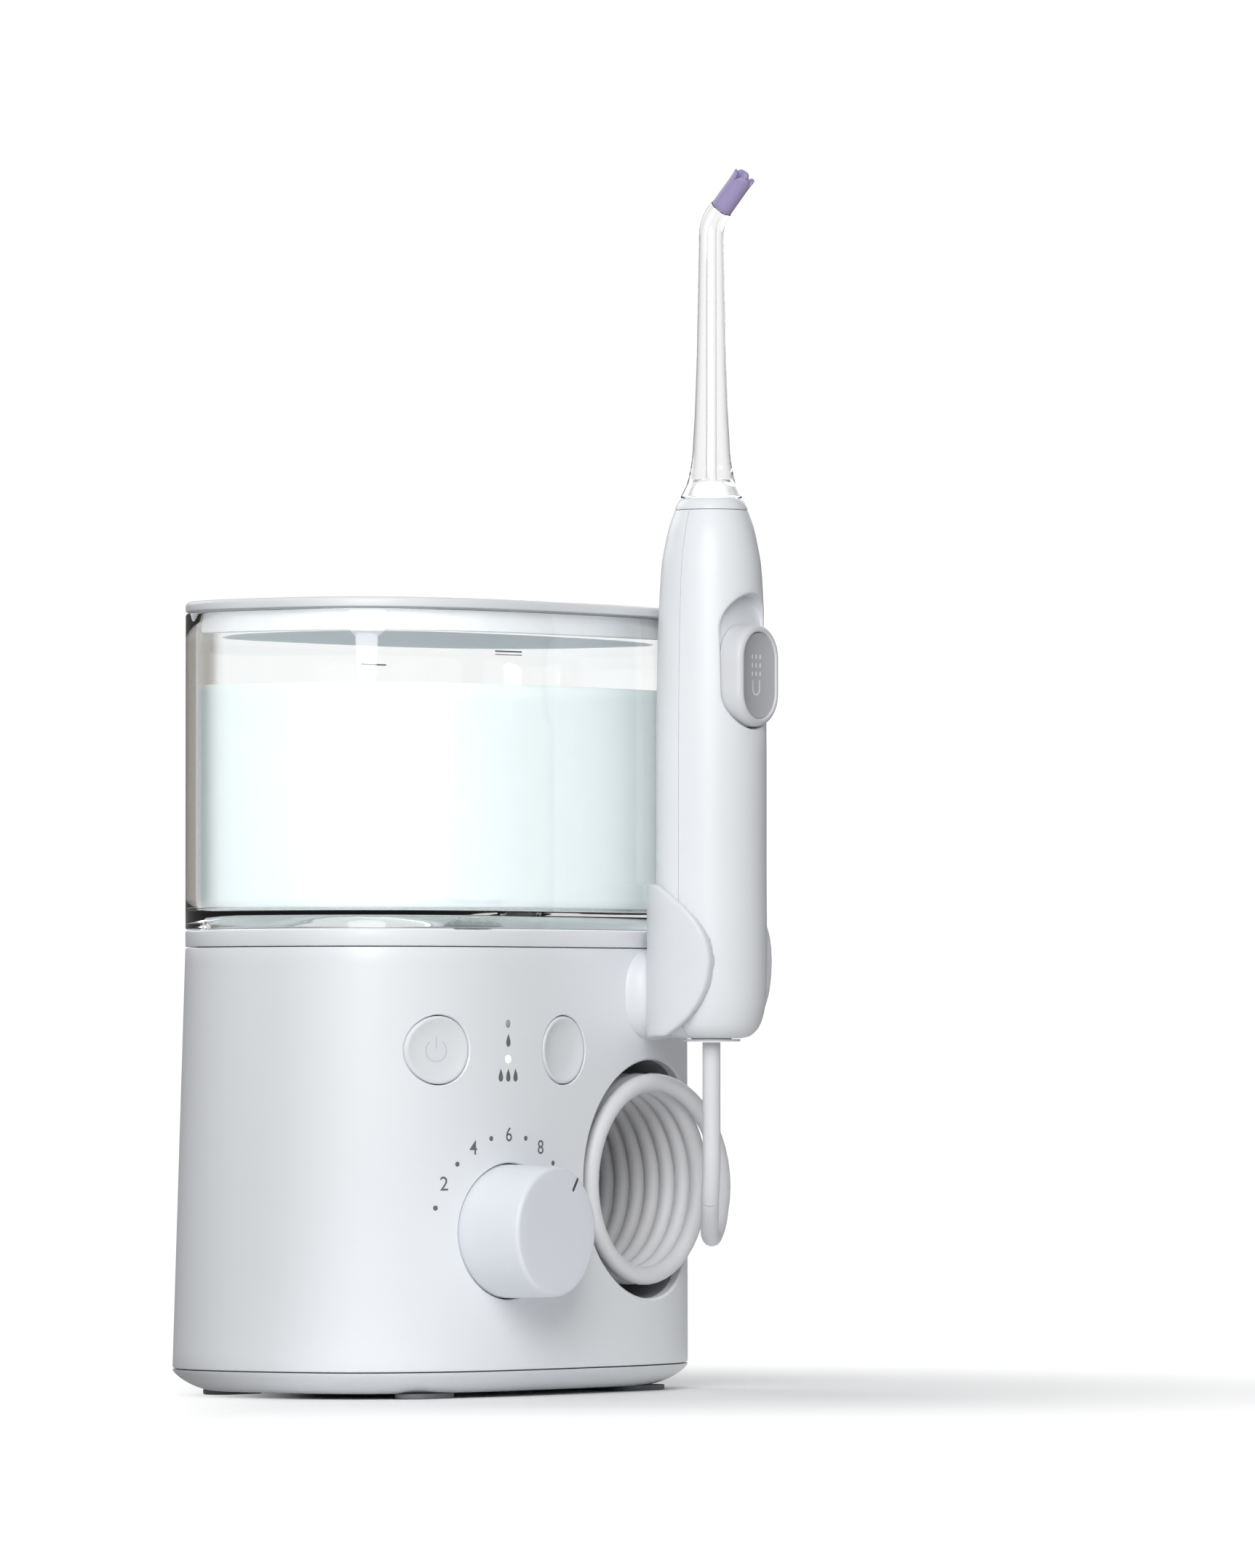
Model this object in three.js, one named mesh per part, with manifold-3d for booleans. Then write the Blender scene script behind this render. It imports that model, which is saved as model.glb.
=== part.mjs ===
// Countertop water flosser: a pump base with a coiled hose, a clear tank, and a handle in its cradle.
// Millimetres, +Z up, the front faces -Y. The origin is on the ground, under the centre of the tank.
import * as THREE from 'three';
import Module from 'manifold-3d';
import { mergeVertices } from 'three/addons/utils/BufferGeometryUtils.js';

const wasm = await Module();
wasm.setup();

// ---------------------------------------------------------------- driving dimensions

const GAP = 0.3; // clearance between a piece and the piece it fits into
const FIT = 0.15; // clearance between round pieces on one axis

// Plan of the body: a superellipse, |x/a|^n + |y/b|^n = 1.
const HALF_WIDTH = 71.4;
const HALF_DEPTH = 44.1;
const PLAN_EXPONENT = 2.95;
const PLAN_POINTS = 36;
const FLARE_OUT = 1.5; // growth of both half axes from the seam down to the crease
const FLARE_BACK = 1.84; // backward shift over the same height, which keeps the front upright

// Heights of the stack, from the ground up.
const FOOT_Z = 1.3;
const CREASE_Z = 6.8;
const SEAM_Z = 110.1;
const DECK_TOP = 114.4;
const TANK_FLOOR_Z = 118.1;
const TANK_TOP = 192.4;
const LID_RIM_Z = 192.7;
const LID_TOP = 195.3;
const LID_SKIRT_Z = 187.0;

const HOUSING_WALL = 2.4;
const TANK_WALL = 2.4;
const COVER_INSET = 8.5; // how far the rounded lower edge draws in
const SKIRT_INSET = 3.3;

// Valve between tank and base.
const VALVE = { x: 0, y: -10.8, top: 9, bottom: 4.5, tip: 114.9, seat: 108 };

// Control panel.
const BUTTON = { left: -49.1, right: -6.4, z: 85.0, radius: 8.3, travel: 0.8 };
const LED = { x: -27.7, upper: 91.4, lower: 82.8, radius: 0.8 };
const BOARD = { front: -26, back: -24.4 };
const SWITCH_FRONT = -29.5;
const KNOB = { x: -27, z: 40.7, radius: 16.4, faceRadius: 15.9, face: -57.6, back: -37.5 };
const KNOB_REST_DEG = 33; // pointer, clockwise from the top

// Hose bay and coil.
const BAY = { x: 31.7, z: 52.9, radius: 29.7, wall: 1.6, floor: 5.5 };
const HOSE_RADIUS = 2.25;
const COIL = { radius: 24.1, front: -44.0, pitch: 4.7, turns: 8.72, startDeg: -20 };
const COIL_STEPS = 10; // straight stretches in one turn

// Handle, on a vertical axis in front of the base.
const HANDLE = { x: 32, y: -60.7, bottom: 87.1, top: 218.7, wall: 1.8 };
const POCKET = { low: 164.3, high: 197.7, halfWidth: 9, depth: 5 };
const SLIDER = { low: 164.9, high: 190.3, halfWidth: 8.5 };
const COLLAR = { low: 219.0, high: 221.6, bore: 5.2 };
const CRADLE = { outer: 16, inner: 14, low: 88, high: 126.3 };

// Nozzle.
const BEND_Z = 287.2;
const BEND_DEG = 42.6;
const BEND_RADIUS = 8;
const TIP = { radius: 2.75, length: 10.7, bore: 2.1 };

// Pump: motor, pinion, crank gear, rod and trunk piston, with shafts along Y.
const GEAR = { x: -27, z: 82, teeth: 32, pinionTeeth: 8, module: 1, front: -12.4, back: -7.4 };
const CENTRE_DISTANCE = 20.15;
const MOTOR = { radius: 12.2, front: -3.3, length: 30 };
const THROW = 2; // eccentric offset, half of the piston's stroke
const ECCENTRIC_RADIUS = 5;
const ROD = { front: -17, back: -12.8, length: 24 };
const PISTON = { radius: 6.95, low: 44, high: 62, floor: 48, cup: 5.7 };
const CYLINDER = { inner: 7.1, outer: 8.5, low: 30, high: 60 };
const HEAD_LOW = 20;
const PLATE = { front: -6.1, back: -3.6 };

// Fixings.
const SCREW_SPOTS = [[-54, -12], [54, -12], [-54, 12], [54, 12]];
const FOOT_SPOTS = [[-43, -29], [43, -29], [-43, 31], [43, 31]];
const CORD = { x: 34, z: 22, radius: 2.2, relief: 55 };
const HANK = { x: 51.9, y: 62.6, halfLength: 18.7, halfWidth: 11, laps: 2.5, rise: 4.6 };
const PLUG = { x: 29, y: 57.5 };

// ---------------------------------------------------------------- solids

/** A closed geometry as a solid, turned right side out. */
function solidOf(geometry) {
  const bare = geometry.clone();
  bare.deleteAttribute('normal');
  bare.deleteAttribute('uv');
  const merged = mergeVertices(bare, 1e-4);
  const corners = merged.index.array;
  const position = merged.attributes.position;
  const triangles = [];
  let volume = 0;
  for (let i = 0; i < corners.length; i += 3) {
    const [a, b, c] = [corners[i], corners[i + 1], corners[i + 2]];
    if (a === b || b === c || c === a) continue;
    triangles.push([a, b, c]);
    const [p, q, r] = [a, b, c].map((k) => new THREE.Vector3().fromBufferAttribute(position, k));
    volume += p.dot(q.cross(r));
  }
  const outward = volume > 0 ? triangles : triangles.map(([a, b, c]) => [a, c, b]);
  return new wasm.Manifold(new wasm.Mesh({
    numProp: 3,
    vertProperties: new Float32Array(position.array),
    triVerts: new Uint32Array(outward.flat()),
  }));
}

/** The geometry of a solid, flat shaded. */
function geometryOf(solid) {
  const mesh = solid.getMesh();
  const geometry = new THREE.BufferGeometry();
  const points = [];
  for (let i = 0; i < mesh.vertProperties.length; i += mesh.numProp) {
    points.push(mesh.vertProperties[i], mesh.vertProperties[i + 1], mesh.vertProperties[i + 2]);
  }
  geometry.setAttribute('position', new THREE.Float32BufferAttribute(points, 3));
  geometry.setIndex([...mesh.triVerts]);
  geometry.computeVertexNormals();
  return geometry;
}

const join = (first, ...others) => others.reduce((sum, solid) => sum.add(solid), first);
const cut = (first, ...others) => others.reduce((rest, solid) => rest.subtract(solid), first);
const common = (first, second) => first.intersect(second);

/** A closed solid through rings of equal point count, with flat ends. */
function loft(rings) {
  const count = rings[0].length;
  const points = rings.flat();
  const index = [];
  for (let row = 0; row + 1 < rings.length; row += 1) {
    for (let i = 0; i < count; i += 1) {
      const next = (i + 1) % count;
      const low = row * count;
      index.push(low + i, low + next, low + count + next);
      index.push(low + i, low + count + next, low + count + i);
    }
  }
  for (const [row, turn] of [[0, false], [rings.length - 1, true]]) {
    const middle = new THREE.Vector3();
    rings[row].forEach((point) => middle.addScaledVector(point, 1 / count));
    points.push(middle);
    for (let i = 0; i < count; i += 1) {
      const pair = [row * count + i, row * count + ((i + 1) % count)];
      if (!turn) pair.reverse();
      index.push(points.length - 1, ...pair);
    }
  }
  const geometry = new THREE.BufferGeometry().setFromPoints(points);
  geometry.setIndex(index);
  return solidOf(geometry);
}

/** A box between two corners. */
function box(low, high) {
  const size = low.map((value, i) => high[i] - value);
  const geometry = new THREE.BoxGeometry(...size);
  geometry.translate(...low.map((value, i) => value + size[i] / 2));
  return solidOf(geometry);
}

/** A round bar between two points, which may taper. */
function bar(from, to, radius, endRadius = radius, sides = 24) {
  const start = new THREE.Vector3(...from);
  const end = new THREE.Vector3(...to);
  const axis = end.clone().sub(start);
  const geometry = new THREE.CylinderGeometry(endRadius, radius, axis.length(), sides);
  const turn = new THREE.Quaternion().setFromUnitVectors(new THREE.Vector3(0, 1, 0), axis.normalize());
  geometry.applyQuaternion(turn);
  geometry.translate(...start.add(end).divideScalar(2).toArray());
  return solidOf(geometry);
}

/** A bar along Y through (x, z). */
const barY = (x, z, from, to, radius, sides) => bar([x, from, z], [x, to, z], radius, radius, sides);

/** A bar along Z through (x, y). */
const barZ = (x, y, from, to, radius, sides) => bar([x, y, from], [x, y, to], radius, radius, sides);

/** A solid of revolution about a vertical line; the profile lists [radius, z]. */
function turnedZ(profile, x, y, sides = 28) {
  const geometry = new THREE.LatheGeometry(profile.map(([r, z]) => new THREE.Vector2(r, z)), sides);
  geometry.rotateX(Math.PI / 2);
  geometry.translate(x, y, 0);
  return solidOf(geometry);
}

/** A solid of revolution about a line along Y; the profile lists [radius, y]. */
function turnedY(profile, x, z, sides = 36) {
  const geometry = new THREE.LatheGeometry(profile.map(([r, y]) => new THREE.Vector2(r, y)), sides);
  geometry.translate(x, 0, z);
  return solidOf(geometry);
}

/** A shape drawn in (x, z), given thickness along Y. */
function slabY(shape, from, to, curveSegments = 10) {
  const geometry = new THREE.ExtrudeGeometry(shape, { depth: to - from, bevelEnabled: false, curveSegments });
  geometry.rotateX(Math.PI / 2);
  geometry.translate(0, to, 0);
  return solidOf(geometry);
}

/** A shape drawn in (y, z), given thickness along X. */
function slabX(shape, from, to, curveSegments = 10) {
  const geometry = new THREE.ExtrudeGeometry(shape, { depth: to - from, bevelEnabled: false, curveSegments });
  geometry.rotateX(Math.PI / 2);
  geometry.rotateZ(Math.PI / 2);
  geometry.translate(from, 0, 0);
  return solidOf(geometry);
}

/** A round cable or hose along a curve; with a bore it is a pipe. */
function pipe(curve, steps, radius, bore = 0, sides = 8) {
  const shape = new THREE.Shape();
  shape.absarc(0, 0, radius, 0, 2 * Math.PI, false);
  if (bore > 0) {
    const hole = new THREE.Path();
    hole.absarc(0, 0, bore, 0, 2 * Math.PI, true);
    shape.holes.push(hole);
  }
  const options = { steps, curveSegments: sides / 2, bevelEnabled: false, extrudePath: curve };
  return solidOf(new THREE.ExtrudeGeometry(shape, options));
}

const through = (points) => new THREE.CatmullRomCurve3(points.map((p) => new THREE.Vector3(...p)));

/** An upright slot outline centred on x, with round ends. */
function slotShape(x, low, high, halfWidth) {
  const shape = new THREE.Shape();
  shape.absarc(x, high - halfWidth, halfWidth, 0, Math.PI, false);
  shape.absarc(x, low + halfWidth, halfWidth, Math.PI, 2 * Math.PI, false);
  shape.closePath();
  return shape;
}

// ---------------------------------------------------------------- body plan

const signedPower = (value, power) => Math.sign(value) * Math.abs(value) ** power;

/** The outline of the body at a height, drawn in by an inset. */
function planRing(z, inset = 0) {
  const flare = THREE.MathUtils.clamp((SEAM_Z - z) / (SEAM_Z - CREASE_Z), 0, 1);
  const a = HALF_WIDTH + FLARE_OUT * flare - inset;
  const b = HALF_DEPTH + FLARE_OUT * flare - inset;
  const ring = [];
  for (let i = 0; i < PLAN_POINTS; i += 1) {
    const angle = (2 * Math.PI * i) / PLAN_POINTS;
    const x = a * signedPower(Math.cos(angle), 2 / PLAN_EXPONENT);
    const y = b * signedPower(Math.sin(angle), 2 / PLAN_EXPONENT);
    ring.push(new THREE.Vector3(x, y + FLARE_BACK * flare, z));
  }
  return ring;
}

/** The body's plan between two heights, drawn in by an inset. */
const planSolid = (low, high, inset = 0) => loft([planRing(low, inset), planRing(high, inset)]);

// ---------------------------------------------------------------- base

function bossPost([x, y]) {
  const reach = Math.sign(x) * 17;
  const post = barZ(x, y, 3.6, 18, 4.5, 10);
  const web = box([Math.min(x, x + reach), y - 1, 10.3], [Math.max(x, x + reach), y + 1, 18]);
  return join(post, web);
}

function baseHousing() {
  const shell = cut(planSolid(CREASE_Z, SEAM_Z), planSolid(CREASE_Z - 1, SEAM_Z + 1, HOUSING_WALL));
  const posts = SCREW_SPOTS.map(bossPost).map((post) => common(post, planSolid(1, SEAM_Z, 1)));
  const pilotHoles = SCREW_SPOTS.map(([x, y]) => barZ(x, y, 3, 16, 1.45, 8));
  const front = [-60, -22];
  return cut(
    join(shell, ...posts),
    ...pilotHoles,
    barY(BAY.x, BAY.z, ...front, BAY.radius, 32),
    barY(BUTTON.left, BUTTON.z, ...front, BUTTON.radius + GAP, 20),
    barY(BUTTON.right, BUTTON.z, ...front, BUTTON.radius + GAP, 20),
    barY(LED.x, LED.upper, ...front, LED.radius + FIT, 8),
    barY(LED.x, LED.lower, ...front, LED.radius + FIT, 8),
    barY(KNOB.x, KNOB.z, ...front, KNOB.radius + GAP, 28),
    barY(CORD.x, CORD.z, 38, 56, 4.5 + FIT, 12),
  );
}

function baseDeck() {
  const rim = planSolid(SEAM_Z + 0.2, DECK_TOP);
  const hollow = planSolid(SEAM_Z - 6, DECK_TOP - 2.2, HOUSING_WALL);
  const lipInset = HOUSING_WALL + GAP;
  const lip = cut(planSolid(SEAM_Z - 4, DECK_TOP - 1, lipInset), planSolid(SEAM_Z - 5, DECK_TOP, lipInset + 1.8));
  const shell = join(cut(rim, hollow), lip);
  const socket = barZ(VALVE.x, VALVE.y, VALVE.seat, DECK_TOP, 8, 16);
  const spout = barZ(VALVE.x, VALVE.y, VALVE.seat - 7, VALVE.seat + 1, 3.2, 12);
  const well = barZ(VALVE.x, VALVE.y, VALVE.seat + 2, DECK_TOP + 1, 6.2, 16);
  const bore = barZ(VALVE.x, VALVE.y, VALVE.seat - 8, VALVE.seat + 3, 1.6, 8);
  return cut(join(shell, socket, spout), well, bore);
}

/** The rounded lower edge: a quarter ellipse that draws in towards the ground. */
function coverRings(extra = 0) {
  const rings = [];
  const steps = 3;
  const height = CREASE_Z - GAP - FOOT_Z;
  for (let i = 0; i <= steps; i += 1) {
    const angle = (Math.PI / 2) * (1 - i / steps);
    const inset = COVER_INSET * (1 - Math.cos(angle)) + extra;
    rings.push(planRing(FOOT_Z + height * (1 - Math.sin(angle)), inset));
  }
  return rings;
}

function bottomCover() {
  const pan = loft(coverRings());
  const hollow = planSolid(3.3, CREASE_Z + 1, 10.5);
  const outerLip = planSolid(CREASE_Z - 1.5, 10, HOUSING_WALL + GAP);
  const lip = cut(outerLip, planSolid(CREASE_Z - 3, 11, HOUSING_WALL + GAP + 1.8));
  const holes = SCREW_SPOTS.map(([x, y]) => barZ(x, y, 0, 4, 1.75, 8));
  const sinks = SCREW_SPOTS.map(([x, y]) => barZ(x, y, 0, 2.5, 3.2, 10));
  return cut(join(pan, lip), hollow, ...holes, ...sinks);
}

/** A soft pad with round ends, set under the cover. */
function foot([x, y]) {
  const shape = new THREE.Shape();
  shape.absarc(x + 5, y, 4.2, -Math.PI / 2, Math.PI / 2, false);
  shape.absarc(x - 5, y, 4.2, Math.PI / 2, 1.5 * Math.PI, false);
  shape.closePath();
  return solidOf(new THREE.ExtrudeGeometry(shape, { depth: FOOT_Z, bevelEnabled: false, curveSegments: 6 }));
}

function coverScrew([x, y]) {
  const profile = [[0, 1.9], [0.9, 1.9], [1.1, 1.4], [2.9, 1.4], [2.9, 2.4], [1.3, 2.4], [1.3, 13], [0, 14.2]];
  return turnedZ(profile, x, y, 8);
}

function hoseBay() {
  const outer = barY(BAY.x, BAY.z, -46, BAY.floor + BAY.wall, BAY.radius + BAY.wall, 32);
  const inner = barY(BAY.x, BAY.z, -48, BAY.floor, BAY.radius, 32);
  const inside = planSolid(CREASE_Z + 1, SEAM_Z - 1, HOUSING_WALL + GAP);
  const passage = barY(BAY.x, BAY.z - COIL.radius, 0, 20, 3.2, 10);
  return cut(common(cut(outer, inner), inside), passage);
}

/** The wings of the cradle in side view: a tall oval, lower at the front than at the back. */
function cradleOutline() {
  const shape = new THREE.Shape();
  shape.moveTo(-40, CRADLE.high);
  shape.lineTo(-53.7, CRADLE.high - 0.3);
  shape.quadraticCurveTo(-69.8, 119.5, -69.8, 107);
  shape.quadraticCurveTo(-69.4, 93.5, -57.5, CRADLE.low + 0.3);
  shape.lineTo(-40, CRADLE.low);
  shape.closePath();
  return slabX(shape, HANDLE.x - 20, HANDLE.x + 20, 8);
}

function handleCradle() {
  const { x, y } = HANDLE;
  const wall = cut(
    barZ(x, y, CRADLE.low, CRADLE.high, CRADLE.outer, 32),
    barZ(x, y, CRADLE.low - 1, CRADLE.high + 1, CRADLE.inner, 32),
  );
  const neckRings = [[-42, 12.6, 10.6], [-43.6, 12.0, 10.2], [-45.2, 10.6, 9.6], [-47.2, 9.6, 9.4]];
  const neck = loft(neckRings.map(([depth, halfWidth, halfHeight]) => {
    const ring = [];
    for (let i = 0; i < 20; i += 1) {
      const angle = (2 * Math.PI * i) / 20;
      const dx = halfWidth * signedPower(Math.cos(angle), 0.8);
      const dz = halfHeight * signedPower(Math.sin(angle), 0.8);
      ring.push(new THREE.Vector3(x + dx, depth, 98.8 + dz));
    }
    return ring;
  }));
  const bore = barZ(x, y, CRADLE.low - 1, CRADLE.high + 1, CRADLE.inner, 32);
  const body = planSolid(CREASE_Z, TANK_TOP, -0.2);
  return cut(join(common(wall, cradleOutline()), cut(neck, bore)), body);
}

// ---------------------------------------------------------------- controls

/** Where the front of the wall stands, above the flare, at a distance from the middle. */
const frontWallY = (x) => -HALF_DEPTH * (1 - Math.abs(x / HALF_WIDTH) ** PLAN_EXPONENT) ** (1 / PLAN_EXPONENT);

/** A round button whose face follows the wall, with a stem that reaches its switch. */
function button(x) {
  const back = frontWallY(Math.abs(x) + BUTTON.radius) + 1.5;
  const cap = common(barY(x, BUTTON.z, -50, back, BUTTON.radius, 24), planSolid(CREASE_Z + 20, SEAM_Z, 0.1));
  const collar = barY(x, BUTTON.z, back - 0.5, back + 1, BUTTON.radius - 1.5, 12);
  const stem = barY(x, BUTTON.z, back + 0.5, SWITCH_FRONT - BUTTON.travel - 0.1, 2, 8);
  return join(cap, collar, stem);
}

function controlBoard() {
  const board = box([-60, BOARD.front, 74], [4, BOARD.back, 99]);
  const chip = box([-32, BOARD.back - 0.1, 78], [-22, BOARD.back + 1.4, 88]);
  return join(board, chip);
}

function tactSwitch(x) {
  const body = box([x - 3, SWITCH_FRONT + 1, BUTTON.z - 3], [x + 3, BOARD.front, BUTTON.z + 3]);
  return join(body, barY(x, BUTTON.z, SWITCH_FRONT, SWITCH_FRONT + 1.2, 1.7, 10));
}

/** A clear rod that carries light from the board to the panel. */
function lightPipe(z) {
  const inside = planSolid(CREASE_Z + 20, SEAM_Z, 0.05);
  const rod = common(barY(LED.x, z, -50, BOARD.front - 0.2, LED.radius, 8), inside);
  return join(rod, barY(LED.x, z, -40, -38.6, 1.7, 8));
}

function pressureKnob() {
  const { radius, faceRadius, face, back } = KNOB;
  const profile = [[0, face], [faceRadius - 0.6, face], [faceRadius, face + 0.6], [radius, back],
    [radius - 1.8, back], [faceRadius - 1.8, face + 1.8], [4.2, face + 1.8], [4.2, back - 1], [1.95, back - 1],
    [1.95, face + 4], [0, face + 4]];
  const shell = turnedY(profile, KNOB.x, KNOB.z, 28);
  const angle = THREE.MathUtils.degToRad(KNOB_REST_DEG);
  const middle = faceRadius - 2.9;
  const pointer = new THREE.BoxGeometry(0.6, 0.5, 3.7);
  pointer.translate(0, 0, middle);
  pointer.rotateY(angle);
  pointer.translate(KNOB.x, face + 0.05, KNOB.z);
  return cut(shell, solidOf(pointer));
}

/** The knob's shaft, which ends in the valve's ported plug. */
function knobShaft() {
  const profile = [[0, KNOB.face + 4.4], [1.8, KNOB.face + 4.4], [1.8, -33.2], [4.4, -33.2], [4.4, -28.2], [0, -28.2]];
  return turnedY(profile, KNOB.x, KNOB.z, 14);
}

/** The panel plate behind the knob, which closes the opening and carries the valve. */
function pressureValve() {
  const { x, z } = KNOB;
  const flange = barY(x, z, -36.2, -34.2, 17.6, 20);
  const body = barY(x, z, -36.2, -27, 7, 14);
  const ports = join(bar([x, -31, z], [x, -31, z - 11], 2.2, 2.2, 12), bar([x, -31, z], [x - 12, -31, z], 2.2, 2.2, 12));
  const chamber = barY(x, z, -33.5, -28, 4.6, 14);
  const shaftHole = barY(x, z, -38, -30, 2.1, 10);
  const bores = join(bar([x, -31, z - 2], [x, -31, z - 12], 1, 1, 8), bar([x - 2, -31, z], [x - 13, -31, z], 1, 1, 8));
  const inside = planSolid(CREASE_Z + 1, SEAM_Z - 1, HOUSING_WALL + GAP);
  return cut(common(join(flange, body, ports), inside), chamber, shaftHole, bores);
}

// ---------------------------------------------------------------- pump

/** The outline of a spur gear with straight-sided teeth and running clearance. */
function gearShape(teeth, turn, bore) {
  const pitchRadius = (teeth * GEAR.module) / 2;
  const outer = pitchRadius + 0.62;
  const root = pitchRadius - 0.95;
  const pitchAngle = (2 * Math.PI) / teeth;
  const shape = new THREE.Shape();
  for (let i = 0; i < teeth; i += 1) {
    const middle = turn + i * pitchAngle;
    const corners = [[root, -0.66 / root], [outer, -0.28 / outer], [outer, 0.28 / outer], [root, 0.66 / root]];
    corners.forEach(([radius, offset], k) => {
      const x = radius * Math.cos(middle + offset);
      const y = radius * Math.sin(middle + offset);
      if (i + k === 0) shape.moveTo(x, y);
      else shape.lineTo(x, y);
    });
  }
  shape.closePath();
  const hole = new THREE.Path();
  hole.absarc(0, 0, bore, 0, 2 * Math.PI, true);
  shape.holes.push(hole);
  return shape;
}

const MOTOR_X = GEAR.x - CENTRE_DISTANCE;

function motorPinion() {
  const turned = slabY(gearShape(GEAR.pinionTeeth, 0, 1.3), GEAR.front - 0.3, GEAR.back + 0.3, 4);
  return turned.translate(MOTOR_X, 0, GEAR.z);
}

function crankGear() {
  const halfTooth = Math.PI / GEAR.teeth;
  const wheel = slabY(gearShape(GEAR.teeth, halfTooth, 1.7), GEAR.front, GEAR.back, 3);
  const eccentric = barY(0, THROW, ROD.front + 0.2, GEAR.front + 0.5, ECCENTRIC_RADIUS, 20);
  const bore = barY(0, 0, ROD.front - 1, GEAR.back + 1, 1.7, 12);
  const windows = [30, 150, 270].map((degrees) => {
    const angle = THREE.MathUtils.degToRad(degrees);
    return barY(10 * Math.cos(angle), 10 * Math.sin(angle), GEAR.front - 1, GEAR.back + 1, 2.4, 8);
  });
  return cut(join(wheel, eccentric), bore, ...windows).translate(GEAR.x, 0, GEAR.z);
}

function connectingRod() {
  const { front, back, length } = ROD;
  const bigEnd = barY(0, 0, front, back, ECCENTRIC_RADIUS + 2.4, 20);
  const shank = box([-2.2, front, -length], [2.2, back, -4]);
  const smallEnd = barY(0, -length, front, back, 3, 12);
  const holes = join(barY(0, 0, front - 1, back + 1, ECCENTRIC_RADIUS + FIT, 20),
    barY(0, -length, front - 1, back + 1, 1.4, 8));
  return cut(join(bigEnd, shank, smallEnd), holes).translate(GEAR.x, 0, GEAR.z + THROW);
}

const PUMP_Y = (ROD.front + ROD.back) / 2;

function pumpPiston() {
  const { radius, low, high, floor, cup } = PISTON;
  const profile = [[0, low], [radius - 0.6, low], [radius, low + 0.6], [radius, low + 2], [radius - 1, low + 2],
    [radius - 1, low + 3.6], [radius, low + 3.6], [radius, high], [cup, high], [cup, floor], [0, floor]];
  return turnedZ(profile, GEAR.x, PUMP_Y, 20);
}

function pumpCylinder() {
  const { inner, outer, low, high } = CYLINDER;
  const sleeve = barZ(GEAR.x, PUMP_Y, low, high, outer, 20);
  const pad = box([GEAR.x - 9, PUMP_Y, 36], [GEAR.x + 9, PLATE.front - 0.1, 56]);
  return cut(join(sleeve, pad), barZ(GEAR.x, PUMP_Y, low - 1, high + 1, inner, 20));
}

/** The valve block under the cylinder, with inlet on the right and outlet at the front. */
function pumpHead() {
  const { x } = GEAR;
  const top = CYLINDER.low - 0.1;
  const block = box([x - 10, PUMP_Y - 8.4, HEAD_LOW], [x + 10, PUMP_Y + 8.4, top]);
  const inlet = bar([x + 9, PUMP_Y, 25], [x + 15, PUMP_Y, 25], 2.2, 2.2, 10);
  const outlet = bar([x, PUMP_Y - 8, 25], [x, PUMP_Y - 13, 25], 2.2, 2.2, 10);
  const wells = join(barZ(x + 4, PUMP_Y, 23, top + 1, 2.6, 10), barZ(x - 2, PUMP_Y - 3.4, 23, top + 1, 2.6, 10));
  const bores = join(bar([x + 4, PUMP_Y, 25], [x + 16, PUMP_Y, 25], 1, 1, 8),
    bar([x - 2, PUMP_Y - 3.4, 25], [x, PUMP_Y - 14, 25], 1, 1, 8));
  return cut(join(block, inlet, outlet), wells, bores);
}

/** A rubber duckbill valve in a well of the pump head. */
function checkValve(x, y) {
  return turnedZ([[0, 26.2], [1.3, 26.2], [2.4, 28.2], [2.4, 29.4], [0, 29.4]], x, y, 10);
}

function pumpPlate() {
  const upper = box([-60, PLATE.front, 62], [-12, PLATE.back, 97]);
  const leg = box([-38, PLATE.front, 3.4], [-16, PLATE.back, 63]);
  const sole = box([-38, -12, 3.4], [-16, PLATE.back, 5.6]);
  const axle = barY(GEAR.x, GEAR.z, ROD.front - 0.4, PLATE.back, 1.5, 12);
  const motorHole = barY(MOTOR_X, GEAR.z, PLATE.front - 1, PLATE.back + 1, 4.5, 16);
  return join(cut(join(upper, leg, sole), motorHole), axle);
}

function motorCan() {
  const { radius, front, length } = MOTOR;
  const can = barY(MOTOR_X, GEAR.z, front, front + length, radius, 20);
  const boss = barY(MOTOR_X, GEAR.z, front - 1.8, front + 0.5, 3.6, 12);
  const hollow = barY(MOTOR_X, GEAR.z, front + 1.2, front + length - 1.2, radius - 1.2, 20);
  const shaftHole = barY(MOTOR_X, GEAR.z, front - 3, front + 3, 1.35, 12);
  return cut(join(can, boss), hollow, shaftHole);
}

function motorArmature() {
  const { front, length } = MOTOR;
  const profile = [[0, GEAR.front - 0.6], [1.15, GEAR.front - 0.6], [1.15, front + 4], [8.6, front + 4],
    [8.6, front + length - 9], [4, front + length - 9], [4, front + length - 2], [0, front + length - 2]];
  return turnedY(profile, MOTOR_X, GEAR.z, 12);
}

// ---------------------------------------------------------------- water and power lines

function inletTube() {
  const seat = VALVE.seat;
  const path = [[VALVE.x, VALVE.y, seat - 7.4], [-1.5, -10.9, 92], [-6, -11.5, 78], [-7.5, -12.5, 50],
    [-7.2, -14.4, 34], [-7.4, PUMP_Y, 28], [-8.6, PUMP_Y, 25.6], [GEAR.x + 15.8, PUMP_Y, 25]];
  return pipe(through(path), 12, 2.2, 1.2, 6);
}

function pressureTube() {
  const { x, z } = KNOB;
  const path = [[x, PUMP_Y - 13.4, 25], [x, -28.8, 25], [x, -29.8, 25.3], [x, -30.6, 26.1], [x, -31, 27.4],
    [x, -31, z - 11.3]];
  return pipe(through(path), 9, 2.2, 1.2, 6);
}

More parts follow.
